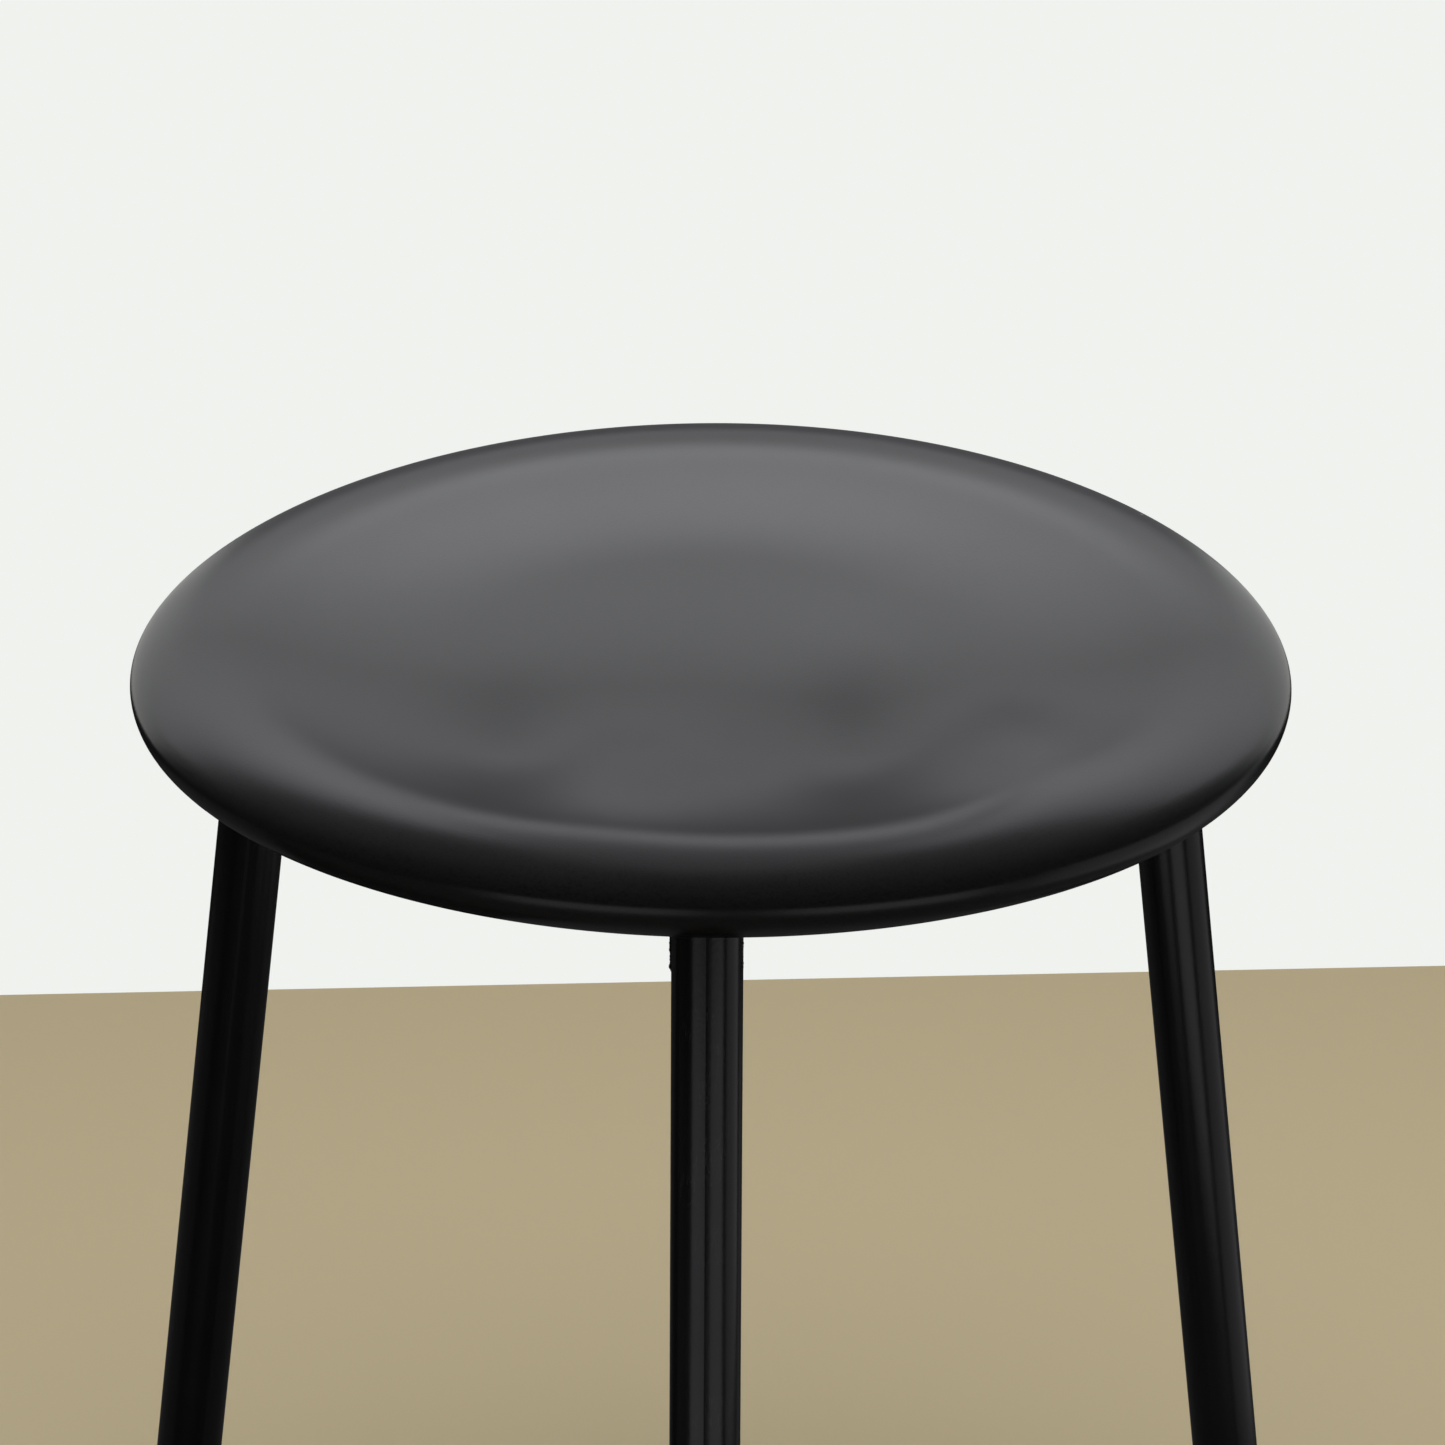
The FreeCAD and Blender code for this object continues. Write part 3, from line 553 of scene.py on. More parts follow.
def turned(section, turns, soft=None, folds=False):
    """Turns a section about the stool's axis into a mesh. soft says how far each point follows the pad."""
    soft = np.ones(len(section)) if soft is None else soft
    angle = np.arange(turns) * 2 * math.pi / turns
    radius, spin = np.meshgrid(section[:, 0], angle, indexing="ij")
    height = np.repeat(section[:, 1:2], turns, axis=1)
    under = (np.arange(len(section)) > np.argmax(section[:, 0]))[:, None] & (radius > 0)
    lift = saddle(radius, spin, under) + np.where(under, 0, swells(radius, spin))
    height = height + lift * soft[:, None]
    if folds:
        height += np.where(under, gathers(radius, spin), 0)
    rings = np.stack([radius * np.cos(spin), radius * np.sin(spin), height], axis=2)
    points = [tuple(rings[0, 0])] + [tuple(p) for ring in rings[1:] for p in ring]
    following = (np.arange(turns) + 1) % turns
    faces = [(0, 1 + j, 1 + following[j]) for j in range(turns)]
    for row in range(len(section) - 2):
        start = 1 + row * turns
        for j in range(turns):
            k = following[j]
            faces.append((start + j, start + turns + j, start + turns + k, start + k))
    return points, faces


def mesh_object(name, points, faces, material, edges=()):
    """A smooth-shaded mesh object at the origin, with one material."""
    mesh = bpy.data.meshes.new(name)
    mesh.from_pydata([tuple(map(float, p)) for p in points], list(edges),
                     [tuple(map(int, f)) for f in faces])
    mesh.validate()
    if material:
        mesh.materials.append(material)
    mesh.shade_smooth()
    made = bpy.data.objects.new(name, mesh)
    bpy.context.scene.collection.objects.link(made)
    return made


# %% Turn the vinyl skin
SKIN_TURNS = 360                        # five points to each gather, and under 200,000 triangles in all
points, faces = turned(SECTION, SKIN_TURNS, folds=True)
seat_skin = mesh_object("seat_skin", points, faces, VINYL)
wall = seat_skin.modifiers.new("vinyl thickness", "SOLIDIFY")
wall.thickness = SKIN
wall.offset = -1.0
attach(seat_skin, "root")
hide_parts("seat_cover")
print("seat skin faces:", len(seat_skin.data.polygons))

# %% [markdown]
# ## The foam
# Inside the skin lies the foam, with a round recess in its underside that the board fills. It is drawn from
# the same section, one skin's thickness further in, then runs back along the board's edge and over its top.

# %% Turn the foam pad
FOAM_TURNS = 192
FIT = 0.06 * MM                         # so that foam, skin and board lie close without crossing
ROUTED = 5.03 * MM                      # how much of the board's edge is routed away from below
LIP_REACH, LIP_TURN = 8 * MM, 6 * MM    # how far in the foam's lip goes under the board, outside and inside
LIP_RISE = 1.5 * MM                     # how far the lip's inner face climbs to the board's full edge
SHOULDER = 2 * MM                       # a short flat at the recess's corner, which keeps it crisp


def inset(section, distance):
    """The section moved inwards, square to itself."""
    along = np.gradient(section, axis=0)
    across = np.stack([-along[:, 1], along[:, 0]], axis=1)
    across /= np.linalg.norm(across, axis=1)[:, None]
    return section - distance * across


def foam_section():
    """The foam's outer line down to its lower lip, then the recess for the board, back to the axis."""
    inner = inset(SECTION, SKIN + FIT)
    inner[0, 0] = 0.0
    edge = board_high.x
    widest = int(np.argmax(inner[:, 0]))
    lip = next(i for i in range(widest, len(inner)) if inner[i, 0] < edge - LIP_REACH)
    outer = inner[:lip]
    flank = board_low.z + ROUTED - FIT
    ceiling = board_high.z + FIT
    back = np.array([
        (edge - LIP_TURN, flank - LIP_RISE),
        (edge + FIT, flank),
        (edge + FIT, ceiling),
        (edge - SHOULDER, ceiling),
        (edge / 2, ceiling),
        (0.0, ceiling)])
    return np.concatenate([outer, back]), np.concatenate([np.ones(len(outer)), np.zeros(len(back))])


section, soft = foam_section()
points, faces = turned(section[:-1], FOAM_TURNS, soft=soft[:-1])
middle = len(points)
points.append((0.0, 0.0, section[-1, 1]))
last = middle - FOAM_TURNS
faces += [(last + j, middle, last + (j + 1) % FOAM_TURNS) for j in range(FOAM_TURNS)]
foam_pad = mesh_object("foam_pad", points, faces, FOAM)
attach(foam_pad, "root")
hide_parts("seat_foam")
print("foam faces:", len(foam_pad.data.polygons))

# %% [markdown]
# ## The cloth under the seat
# A disc of black non-woven cloth hides the hem and the board. It is stapled round its edge and nipped
# between the board and the rails, so only four quarters of it hang free. The disc is cut with its four bolt
# holes, filled with an even net of triangles, and Blender's Cloth lets the free quarters sag a few
# millimetres.

# %% Cut the disc of cloth
CLOTH_RADIUS = cloth_high.x
CLOTH_THICKNESS = 0.35 * MM
CLOTH_MIDDLE = (cloth_low.z + cloth_high.z) / 2
BOLT_ACROSS_FLATS = 10 * MM
BOLT_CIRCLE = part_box("mounting_bolts")[1].x - BOLT_ACROSS_FLATS / 2 / math.cos(math.radians(30))
BOLT_HOLE = 3.3 * MM
NET = 5 * MM                            # spacing of the cloth's points


def ring_points(centre, radius, count):
    return [Vector((centre[0] + radius * math.cos(2 * math.pi * i / count),
                    centre[1] + radius * math.sin(2 * math.pi * i / count))) for i in range(count)]


def cut_cloth():
    """The disc with its four holes, as a net of nearly even triangles."""
    holes = [(BOLT_CIRCLE * math.cos(math.radians(a)), BOLT_CIRCLE * math.sin(math.radians(a)))
             for a in SIDES.values()]
    loops = [ring_points((0, 0), CLOTH_RADIUS, 160)] + [ring_points(h, BOLT_HOLE, 16) for h in holes]
    points, edges = [], []
    for loop in loops:
        first = len(points)
        points += loop
        edges += [(first + i, first + (i + 1) % len(loop)) for i in range(len(loop))]
    row_gap = NET * math.sqrt(3) / 2
    rows, columns = int(CLOTH_RADIUS / row_gap) + 1, int(CLOTH_RADIUS / NET) + 1
    for row in range(-rows, rows + 1):
        for column in range(-columns, columns + 1):
            spot = Vector(((column + 0.5 * (row % 2)) * NET, row * row_gap))
            clear_of_holes = all((spot - Vector(h)).length > BOLT_HOLE + 0.4 * NET for h in holes)
            if spot.length < CLOTH_RADIUS - 0.6 * NET and clear_of_holes:
                points.append(spot)
    found, _, faces, *_ = delaunay_2d_cdt(points, edges, [], 0, 1e-7)
    kept = []
    for face in faces:
        middle = sum((found[i] for i in face), Vector((0, 0))) / 3
        if all((middle - Vector(h)).length > BOLT_HOLE * 0.97 for h in holes):
            kept.append(face)
    return [(p.x, p.y, CLOTH_MIDDLE) for p in found], kept


points, faces = cut_cloth()
dust_cloth = mesh_object("dust_cloth", points, faces, CLOTH)
print("cloth triangles:", len(faces))

# %% Let the cloth sag between the rails
STAPLE_INSET = 3.6 * MM
STAPLE_RING = CLOTH_RADIUS - STAPLE_INSET
RAIL_HALF = rail_high.y
GRIP = 1 * MM                           # how far past a rail or a staple the cloth is still held


def hold_cloth(cloth):
    """Pins the cloth where a rail presses on it and round its stapled edge."""
    held = cloth.vertex_groups.new(name="held")
    for vertex in cloth.data.vertices:
        x, y = abs(vertex.co.x), abs(vertex.co.y)
        nipped = min(x, y) < RAIL_HALF + GRIP
        stapled = math.hypot(x, y) > STAPLE_RING - GRIP
        if nipped or stapled:
            held.add([vertex.index], 1.0, "REPLACE")
    return held.name


def sag(cloth, frames=24):
    """Runs the cloth for a short time and keeps the shape that it falls into."""
    maker = cloth.modifiers.new("sag", "CLOTH")
    settings = maker.settings
    settings.quality = 6
    settings.mass = 0.06
    settings.tension_stiffness = settings.compression_stiffness = 15
    settings.shear_stiffness = 5
    settings.bending_stiffness = 0.05
    settings.vertex_group_mass = hold_cloth(cloth)
    settings.shrink_min = -0.006
    maker.collision_settings.use_self_collision = False
    maker.point_cache.frame_end = frames
    scene = bpy.context.scene
    for step in range(1, frames + 1):
        scene.frame_set(step)
    shape = bpy.data.meshes.new_from_object(
        cloth.evaluated_get(bpy.context.evaluated_depsgraph_get()))
    cloth.modifiers.clear()
    cloth.vertex_groups.clear()
    cloth.data = shape
    shape.name = cloth.name
    scene.frame_set(1)


sag(dust_cloth)
thick = dust_cloth.modifiers.new("cloth thickness", "SOLIDIFY")
thick.thickness = CLOTH_THICKNESS
thick.offset = 0.0
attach(dust_cloth, "root")
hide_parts("dust_cover")
print("cloth sags to", round(min(v.co.z for v in dust_cloth.data.vertices) / MM, 2), "mm")

# %% [markdown]
# ## Staples
# Two rings of staples hold the hem and the cloth. A staple is a short length of flat wire with two bent
# corners. The same Geometry Nodes tree makes both rings: it draws one staple from four points, rounds its
# corners, sweeps the wire along it, and sets a copy at each place round the ring. A hand with a staple gun
# is never quite even, so each copy is turned and shifted by a small seeded amount.

# %% Build the staple ring tree
def make_staple_ring():
    tree, given, out = group("Staple ring", "GeometryNodeTree", {
        "Count": ("Int", 16), "Ring Radius": ("Float", 0.13), "Crown Height": ("Float", 0.42),
        "Crown Length": ("Float", 0.010), "Wire Width": ("Float", 0.0012),
        "Wire Thickness": ("Float", 0.0006), "Leg Length": ("Float", 0.006), "First Angle": ("Float", 0.0),
        "Unevenness": ("Float", 0.05), "Seed": ("Int", 1), "Material": ("Material", None)},
        {"Geometry": "Geometry"})
    # one staple: four points, the two outer ones at the tips of the legs
    index = tree.nodes.new("GeometryNodeInputIndex").outputs[0]
    right = maths(tree, "GREATER_THAN", index, 1.5)
    side = maths(tree, "SUBTRACT", right, 0.5)
    leg = maths(tree, "ADD", maths(tree, "LESS_THAN", index, 0.5), maths(tree, "GREATER_THAN", index, 2.5))
    inside = maths(tree, "SUBTRACT", given["Crown Length"], given["Wire Thickness"])
    x = maths(tree, "MULTIPLY", side, inside)
    half = maths(tree, "MULTIPLY", given["Wire Thickness"], 0.5)
    z = maths(tree, "ADD", half, maths(tree, "MULTIPLY", leg, given["Leg Length"]))
    line = add(tree, "GeometryNodeMeshLine", {"Count": 4})
    bent = add(tree, "GeometryNodeSetPosition", {
        "Geometry": line.outputs[0],
        "Position": add(tree, "ShaderNodeCombineXYZ", {0: x, 2: z}).outputs[0]})
    wire = add(tree, "GeometryNodeMeshToCurve", {"Mesh": bent.outputs[0]})
    corners = add(tree, "GeometryNodeFilletCurve", {"Curve": wire.outputs[0], "Radius": 0.0005})
    corners.mode = "POLY"
    corners.inputs["Count"].default_value = 3
    section = add(tree, "GeometryNodeCurvePrimitiveQuadrilateral", {
        "Width": given["Wire Thickness"], "Height": given["Wire Width"]})
    staple = add(tree, "GeometryNodeCurveToMesh", {
        "Curve": corners.outputs[0], "Profile Curve": section.outputs[0], "Fill Caps": True})
    # its places round the ring
    spots = add(tree, "GeometryNodePoints", {"Count": given["Count"]})
    step = maths(tree, "DIVIDE", 2 * math.pi, given["Count"])
    wander = [add(tree, "FunctionNodeRandomValue", {2: -1.0, 3: 1.0, "ID": index,
                                                    "Seed": maths(tree, "ADD", given["Seed"], offset)},
                  data_type="FLOAT").outputs[1] for offset in (0.0, 10.0, 20.0)]
    uneven = [maths(tree, "MULTIPLY", w, given["Unevenness"]) for w in wander]
    even_angle = maths(tree, "MULTIPLY_ADD", index, step, given["First Angle"])
    angle = maths(tree, "ADD", even_angle, maths(tree, "MULTIPLY", uneven[0], 0.12))
    radius = maths(tree, "ADD", given["Ring Radius"], maths(tree, "MULTIPLY", uneven[1], 0.006))
    spot = add(tree, "ShaderNodeCombineXYZ", {
        0: maths(tree, "MULTIPLY", radius, maths(tree, "COSINE", angle)),
        1: maths(tree, "MULTIPLY", radius, maths(tree, "SINE", angle)), 2: given["Crown Height"]})
    placed = add(tree, "GeometryNodeSetPosition", {"Geometry": spots.outputs[0],
                                                   "Position": spot.outputs[0]})
    facing = maths(tree, "ADD", maths(tree, "ADD", angle, math.pi / 2), uneven[2])
    copies = add(tree, "GeometryNodeInstanceOnPoints", {
        "Points": placed.outputs[0], "Instance": staple.outputs[0],
        "Rotation": add(tree, "ShaderNodeCombineXYZ", {2: facing}).outputs[0]})
    real = add(tree, "GeometryNodeRealizeInstances", {"Geometry": copies.outputs[0]})
    coated = add(tree, "GeometryNodeSetMaterial", {"Geometry": real.outputs[0],
                                                   "Material": given["Material"]})
    tree.links.new(coated.outputs[0], out["Geometry"])
    return tree


STAPLE_RING_TREE = make_staple_ring()


def grown(name, tree, start=None, **values):
    """Runs a Geometry Nodes tree on a mesh, keeps the result as a plain mesh and drops the modifier."""
    made = bpy.data.objects.new(name, start or bpy.data.meshes.new(name))
    bpy.context.scene.collection.objects.link(made)
    maker = made.modifiers.new(name, "NODES")
    maker.node_group = tree
    sockets = {item.name: item.identifier for item in tree.interface.items_tree if item.in_out == "INPUT"}
    for label, value in values.items():
        maker[sockets[label.replace("_", " ")]] = value
    result = bpy.data.meshes.new_from_object(
        made.evaluated_get(bpy.context.evaluated_depsgraph_get()))
    made.modifiers.clear()
    made.data = result
    result.name = name
    return made


# %% Staple the hem and the cloth
def ring_radius(node):
    """Half-way between a node's innermost and outermost points: the radius of its ring of crowns."""
    spots = np.array([v.co[:2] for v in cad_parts[node].data.vertices])
    away = np.hypot(spots[:, 0], spots[:, 1])
    return float((away.min() + away.max()) / 2)


def staple_ring(name, node, count, first, seed):
    """One ring of staples in the place of a CAD node's plain crowns."""
    ring = grown(
        name, STAPLE_RING_TREE, Count=count, Ring_Radius=ring_radius(node),
        Crown_Height=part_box(node)[0].z, First_Angle=math.radians(first), Seed=seed, Unevenness=0.05,
        Material=STAPLE_WIRE)
    ring.data.shade_flat()
    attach(ring, "root")
    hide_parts(node)
    print(name, "faces:", len(ring.data.polygons))
    return ring


HEM_STAPLES, CLOTH_STAPLES = 36, 16
staple_ring("hem_staples", "cover_staples", HEM_STAPLES, 0.0, 3)
staple_ring("cloth_staples", "dust_staples", CLOTH_STAPLES, 180.0 / CLOTH_STAPLES, 7)

# %% [markdown]
# ## Welds
# The square rails are cut to the round of the leg tubes and welded down both sides and along the bottom;
# the top is left clean so that the seat lies flat. A weld bead is a row of overlapping puddles. The script
# works out the line where rail meets tube, and a Geometry Nodes tree sets a puddle at each step of the
# torch along it.

# %% Build the weld bead tree
def make_weld_bead():
    tree, given, out = group("Weld bead", "GeometryNodeTree", {
        "Path": ("Geometry", None), "Torch Step": ("Float", 0.0011), "Bead Radius": ("Float", 0.0017),
        "Unevenness": ("Float", 0.12), "Seed": ("Int", 1), "Material": ("Material", None)},
        {"Geometry": "Geometry"})
    line = add(tree, "GeometryNodeMeshToCurve", {"Mesh": given["Path"]})
    steps = add(tree, "GeometryNodeCurveToPoints",
                {"Curve": line.outputs[0], "Length": given["Torch Step"]}, mode="LENGTH")
    low = maths(tree, "SUBTRACT", 1.0, given["Unevenness"])
    high = maths(tree, "ADD", 1.0, given["Unevenness"])
    size = add(tree, "FunctionNodeRandomValue", {2: low, 3: high, "Seed": given["Seed"]}, data_type="FLOAT")
    scale = maths(tree, "MULTIPLY", size.outputs[1], given["Bead Radius"])
    puddle = add(tree, "GeometryNodeMeshIcoSphere", {"Radius": 1.0, "Subdivisions": 2})
    shape = add(tree, "ShaderNodeCombineXYZ", {
        0: scale, 1: scale, 2: maths(tree, "MULTIPLY", scale, 0.75)})
    copies = add(tree, "GeometryNodeInstanceOnPoints", {
        "Points": steps.outputs[0], "Instance": puddle.outputs[0], "Rotation": steps.outputs["Rotation"],
        "Scale": shape.outputs[0]})
    real = add(tree, "GeometryNodeRealizeInstances", {"Geometry": copies.outputs[0]})
    smooth = add(tree, "GeometryNodeSetShadeSmooth", {0: real.outputs[0]})
    coated = add(tree, "GeometryNodeSetMaterial", {"Geometry": smooth.outputs[0],
                                                   "Material": given["Material"]})
    tree.links.new(coated.outputs[0], out["Geometry"])
    return tree


WELD_BEAD_TREE = make_weld_bead()

# %% Work out where rails meet tubes
RAIL_CORNER = 2 * MM
LEG_HEIGHT = leg_high.z - leg_low.z


def leg_tilt():
    """The leg's lean from upright, from the box of one leg: the tube's own width is taken off its run."""
    lean = 0.0
    for _ in range(20):
        run = leg_high.x - leg_low.x - 2 * TUBE_RADIUS / math.cos(lean)
        lean = math.atan(run / LEG_HEIGHT)
    return lean


LEAN = leg_tilt()
LEG_TOP_X = leg_low.x + TUBE_RADIUS / math.cos(LEAN)


def rail_outline(half, bottom, top, corner, step=0.8 * MM):
    """The sides and bottom of a rail's section: points (across, height) down one side and up the other."""
    bend = [(half - corner + corner * math.sin(a), bottom + corner - corner * math.cos(a))
            for a in np.linspace(math.pi / 2, 0, 5)]
    side = [(half, z) for z in np.arange(top - 1.5 * MM, bottom + corner, -step)]
    right = side + bend
    return right + [(-y, z) for y, z in reversed(right)]


def weld_path(x_of, turn):
    """A weld line where x_of(across, height) gives how far out the rail meets the other piece."""
    across = Matrix.Rotation(math.radians(turn), 3, "Z")
    return [across @ Vector((x_of(y, z), y, z))
            for y, z in rail_outline(RAIL_HALF, rail_low.z, rail_high.z, RAIL_CORNER)]


def on_leg(y, z):
    """Where a rail's wall meets the leaning tube."""
    axis = LEG_TOP_X + (leg_high.z - z) * math.tan(LEAN)
    return axis - math.sqrt(TUBE_RADIUS ** 2 - y ** 2) / math.cos(LEAN)


def on_cross_rail(_, __):
    """Where a half rail butts against the flat side of the cross rail."""
    return RAIL_HALF


paths = [weld_path(on_leg, turn) for turn in SIDES.values()]
paths += [weld_path(on_cross_rail, SIDES[side]) for side in ("front", "back")]
points, edges = [], []
for path in paths:
    first = len(points)
    points += path
    edges += [(first + i, first + i + 1) for i in range(len(path) - 1)]
line = bpy.data.meshes.new("weld_lines")
line.from_pydata([tuple(p) for p in points], edges, [])
welds = grown("weld_beads", WELD_BEAD_TREE, start=line, Torch_Step=1.1 * MM, Bead_Radius=1.7 * MM,
              Unevenness=0.12, Seed=5, Material=PAINT)
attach(welds, "root")
print("weld faces:", len(welds.data.polygons))

# %% [markdown]
# ## Floor, wall and light
# The stage is a plain pale floor and a white wall close behind the stool. Gloss is what shapes a black
# object, so the stage is planned for what the seat and tubes reflect: the white wall in the dish, a glowing
# card high up in front of the wall in the far slope, and a black card in the front edge. These cards are
# painted reflections, which only gloss sees; the lamps are hidden from gloss. Seen from behind or below, the
# floor and wall are clear, so that a camera may stand anywhere.

# %% Build the stage
FLOOR_COLOR = (0.48, 0.405, 0.265)
WALL_COLOR = (0.871, 0.888, 0.858)


def seen_plainly(tree):
    """1 for what cameras and reflections see, 0 for the light that matt surfaces gather."""
    path = tree.nodes.new("ShaderNodeLightPath").outputs
    seen = maths(tree, "ADD", path["Is Camera Ray"], path["Is Glossy Ray"])
    return maths(tree, "MINIMUM", maths(tree, "ADD", seen, path["Is Transmission Ray"]), 1.0)


def first_look(tree):
    """1 for what a camera or a first reflection sees, and much less for a reflection of a reflection."""
    depth = tree.nodes.new("ShaderNodeLightPath").outputs["Glossy Depth"]
    again = maths(tree, "GREATER_THAN", depth, 1.5)
    return maths(tree, "SUBTRACT", 1.0, maths(tree, "MULTIPLY", again, 0.85))


def one_sided(name, color, glow):
    """A matt surface that is clear from behind. If glow, cameras and reflections see its plain colour."""
    material = bpy.data.materials.new(name)
    material.use_nodes = True
    tree = material.node_tree
    tree.nodes.clear()
    shown = add(tree, "ShaderNodeBsdfDiffuse", {"Color": (*color, 1.0)}).outputs[0]
    if glow:
        plain = add(tree, "ShaderNodeEmission", {"Color": (*color, 1.0), "Strength": first_look(tree)})
        shown = add(tree, "ShaderNodeMixShader",
                    {0: seen_plainly(tree), 1: shown, 2: plain.outputs[0]}).outputs[0]
    behind = tree.nodes.new("ShaderNodeNewGeometry").outputs["Backfacing"]
    clear = tree.nodes.new("ShaderNodeBsdfTransparent").outputs[0]
    mixed = add(tree, "ShaderNodeMixShader", {0: behind, 1: shown, 2: clear})
    tree.links.new(mixed.outputs[0], add(tree, "ShaderNodeOutputMaterial").inputs[0])
    return material


WALL_DISTANCE = 0.647
WALL_TURN = 0.0626                      # the wall isn't quite square to the stool
REACH = 6.0                             # half the width of the floor and the wall
WALL_HEIGHT = 3.0


def wall_y(x):
    return WALL_DISTANCE + WALL_TURN * x


floor = mesh_object("floor", [(-REACH, -REACH, 0), (REACH, -REACH, 0), (REACH, wall_y(REACH), 0),
                              (-REACH, wall_y(-REACH), 0)], [(0, 1, 2, 3)],
                    one_sided("pale_floor", FLOOR_COLOR, glow=False))
back_wall = mesh_object("back_wall", [(-REACH, wall_y(-REACH), 0), (REACH, wall_y(REACH), 0),
                                      (REACH, wall_y(REACH), WALL_HEIGHT),
                                      (-REACH, wall_y(-REACH), WALL_HEIGHT)],
                        [(0, 1, 2, 3)], one_sided("white_wall", WALL_COLOR, glow=True))

# %% Hang the lights
def soft_light(name, place, aim, size, radiance, in_gloss):
    """A rectangular soft light. radiance is how bright its face is, where 1 is a white card."""
    lamp = bpy.data.lights.new(name, "AREA")
    lamp.shape = "RECTANGLE"
    lamp.size, lamp.size_y = size
    lamp.energy = radiance * math.pi * size[0] * size[1]
    made = bpy.data.objects.new(name, lamp)
    bpy.context.scene.collection.objects.link(made)
    made.location = place
    made.rotation_mode = "QUATERNION"
    made.rotation_quaternion = (Vector(aim) - Vector(place)).to_track_quat("-Z", "Y")
    made.visible_camera = False
    made.visible_glossy = in_gloss
    return made


SEAT_MIDDLE = (0.0, 0.0, SEAT_TOP)
soft_light("overhead", (0.0, -0.2, 2.6), SEAT_MIDDLE, (2.6, 2.0), 2.35, in_gloss=False)
soft_light("over_wall", (0.0, 0.62, 1.02), SEAT_MIDDLE, (2.4, 0.5), 1.9, in_gloss=False)

# %% The room around
world = bpy.data.worlds.new("room")
bpy.context.scene.world = world
world.use_nodes = True
tree = world.node_tree
tree.nodes.clear()
pale = add(tree, "ShaderNodeBackground", {"Color": (*WALL_COLOR, 1.0), "Strength": 1.0})
fill = add(tree, "ShaderNodeBackground", {"Color": (0.95, 0.97, 1.0, 1.0), "Strength": 0.35})
both = add(tree, "ShaderNodeMixShader", {0: seen_plainly(tree), 1: fill.outputs[0], 2: pale.outputs[0]})
tree.links.new(both.outputs[0], add(tree, "ShaderNodeOutputWorld").inputs[0])

# %% [markdown]
# ## Cards
# The gloss of a black object is shaped with cards around it. These show in reflections only, so they take
# no light away and give none.
# - One curved *black card* stands in front of the stool and leans over it, for the seat's dark front edge.
# - Low dim *panels* on the floor draw the soft streaks down the tubes.
# - *Flags* hang just behind the seat. They are close, so the two halves of the seat see different parts of
#   them: the far slope looks over the pale flag at the bright card, and the front crest looks straight at
#   the flags. One more, black and low, stands in front of the left leg.
# - *Skirts* along the foot of the wall darken what the steep part of the front slope sees.

# %% Stand the black card and the dim panels
def glow_card(name, points, faces, level):
    """A card of even brightness that only reflections see."""
    material = bpy.data.materials.new(name)
    material.use_nodes = True
    tree = material.node_tree
    tree.nodes.clear()
    shade = add(tree, "ShaderNodeEmission", {"Color": (level, level, level * 1.05, 1.0),
                                             "Strength": first_look(tree)})
    tree.links.new(shade.outputs[0], add(tree, "ShaderNodeOutputMaterial").inputs[0])
    card = mesh_object(name, points, faces, material)
    card.visible_camera = card.visible_diffuse = card.visible_shadow = False
    card.visible_transmission = False
    return card


def bent_card(name, reach, turns, heights, level):
    """A strip bent round the stool between two angles from the front, and between heights or up a dome."""
    across = np.radians(np.linspace(turns[0], turns[1], 25))
    points, faces = [], []
    for out, up in heights:
        points += [(reach * out * math.sin(a), -reach * out * math.cos(a), up) for a in across]
    for row in range(len(heights) - 1):
        for i in range(len(across) - 1):
            a = row * len(across) + i
            faces.append((a, a + 1, a + 1 + len(across), a + len(across)))
    return glow_card(name, points, faces, level)


CARD_REACH, PANEL_REACH = 1.1, 1.0      # how far out the black card and the panels stand
CARD_TURN = 124                         # degrees round from the front, each way
DOME_TOP, CAP_TOP = 56, 89              # degrees up from the seat
MAT_LIFT, PANEL_LIFT = 0.0012, 0.0016   # so that what lies on the floor doesn't flicker with it
BLACK = 0.012


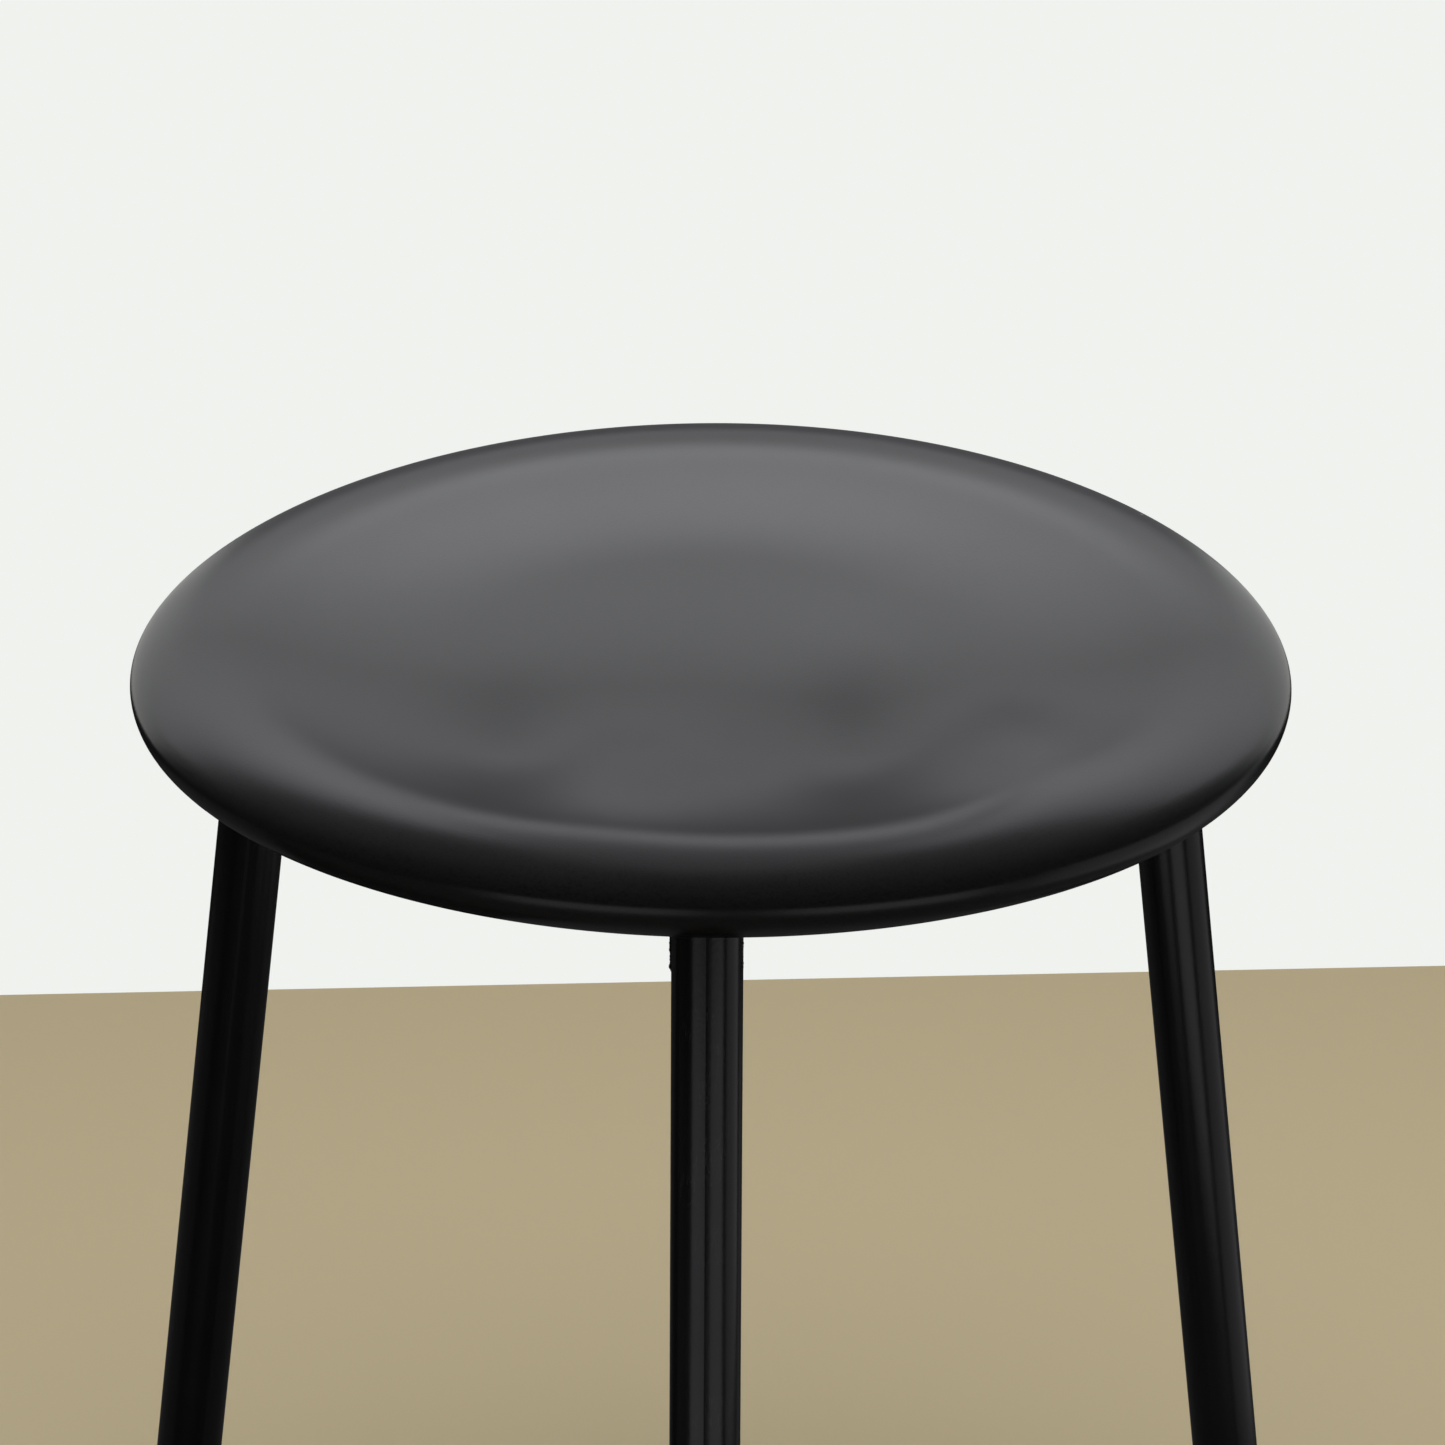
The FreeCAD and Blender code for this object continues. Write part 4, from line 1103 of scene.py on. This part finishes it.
def dome(first, last, count):
    """Reaches and heights up a dome round the seat, between two angles."""
    return [(math.cos(e), SEAT_TOP + CARD_REACH * math.sin(e))
            for e in np.radians(np.linspace(first, last, count))]


def panel(name, turns, inner, height, level):
    """A dim card that lies on the floor and turns up at its outer edge."""
    heights = [(inner, PANEL_LIFT), (1.0, PANEL_LIFT), (1.0, height)]
    return bent_card(name, PANEL_REACH, turns, heights, level)


bent_card("black_card", CARD_REACH, (-CARD_TURN, CARD_TURN), [(1.0, 0.002)] + dome(0, DOME_TOP, 8), BLACK)
# The black cap closes the dome over the seat, and the black mat lies on the floor under and round the stool:
# both are painted dark reflections, seen only in gloss.
bent_card("black_cap", CARD_REACH, (-180, 180), dome(DOME_TOP, CAP_TOP, 6), BLACK)
bent_card("black_mat", CARD_REACH, (-180, 180), [(0.01, MAT_LIFT), (1.0, MAT_LIFT)], 0.05)
panel("left_panel", (-37, -3), 0.62, 0.2, 0.6)
panel("right_panel", (13, 50), 0.62, 0.2, 0.6)
panel("side_panel", (62, 118), 0.5, 0.4, 0.3)

# %% Hang the flags and the skirts
SKIRT_Y = wall_y(0) - 0.08
SKIRT_STEP = 0.005                      # so that the middle skirt doesn't flicker with the others


def upright_card(name, y, left, right, low, high, level, slant=0.0):
    """A flat upright card. slant lowers its top edge on the left and raises it on the right."""
    corners = [(left, y, low), (right, y, low), (right, y, high + slant), (left, y, high - slant)]
    return glow_card(name, corners, [(0, 1, 2, 3)], level)


upright_card("bright_card", 0.42, -0.6, 0.6, 0.665, 1.05, 3.4)
upright_card("pale_flag", 0.20, -0.45, 0.45, 0.55, 0.73, 1.15, slant=0.08)
upright_card("high_flag", 0.205, -0.6, 0.6, 0.60, 1.20, 0.05)
upright_card("front_flag", 0.195, -0.10, 0.10, 0.575, 1.10, 0.38)
upright_card("left_flag", -0.12, -0.40, -0.07, 0.0, 0.41, BLACK)
upright_card("floor_skirt", SKIRT_Y, -1.2, 1.2, 0.0, 0.27, BLACK)
upright_card("low_skirt", SKIRT_Y, -0.27, 0.27, 0.27, 0.57, 0.18)
upright_card("middle_skirt", SKIRT_Y - SKIRT_STEP, -1.2, 1.2, 0.57, 0.64, 1.0)
upright_card("high_skirt", SKIRT_Y, -1.2, 1.2, 0.64, 0.68, 0.60)
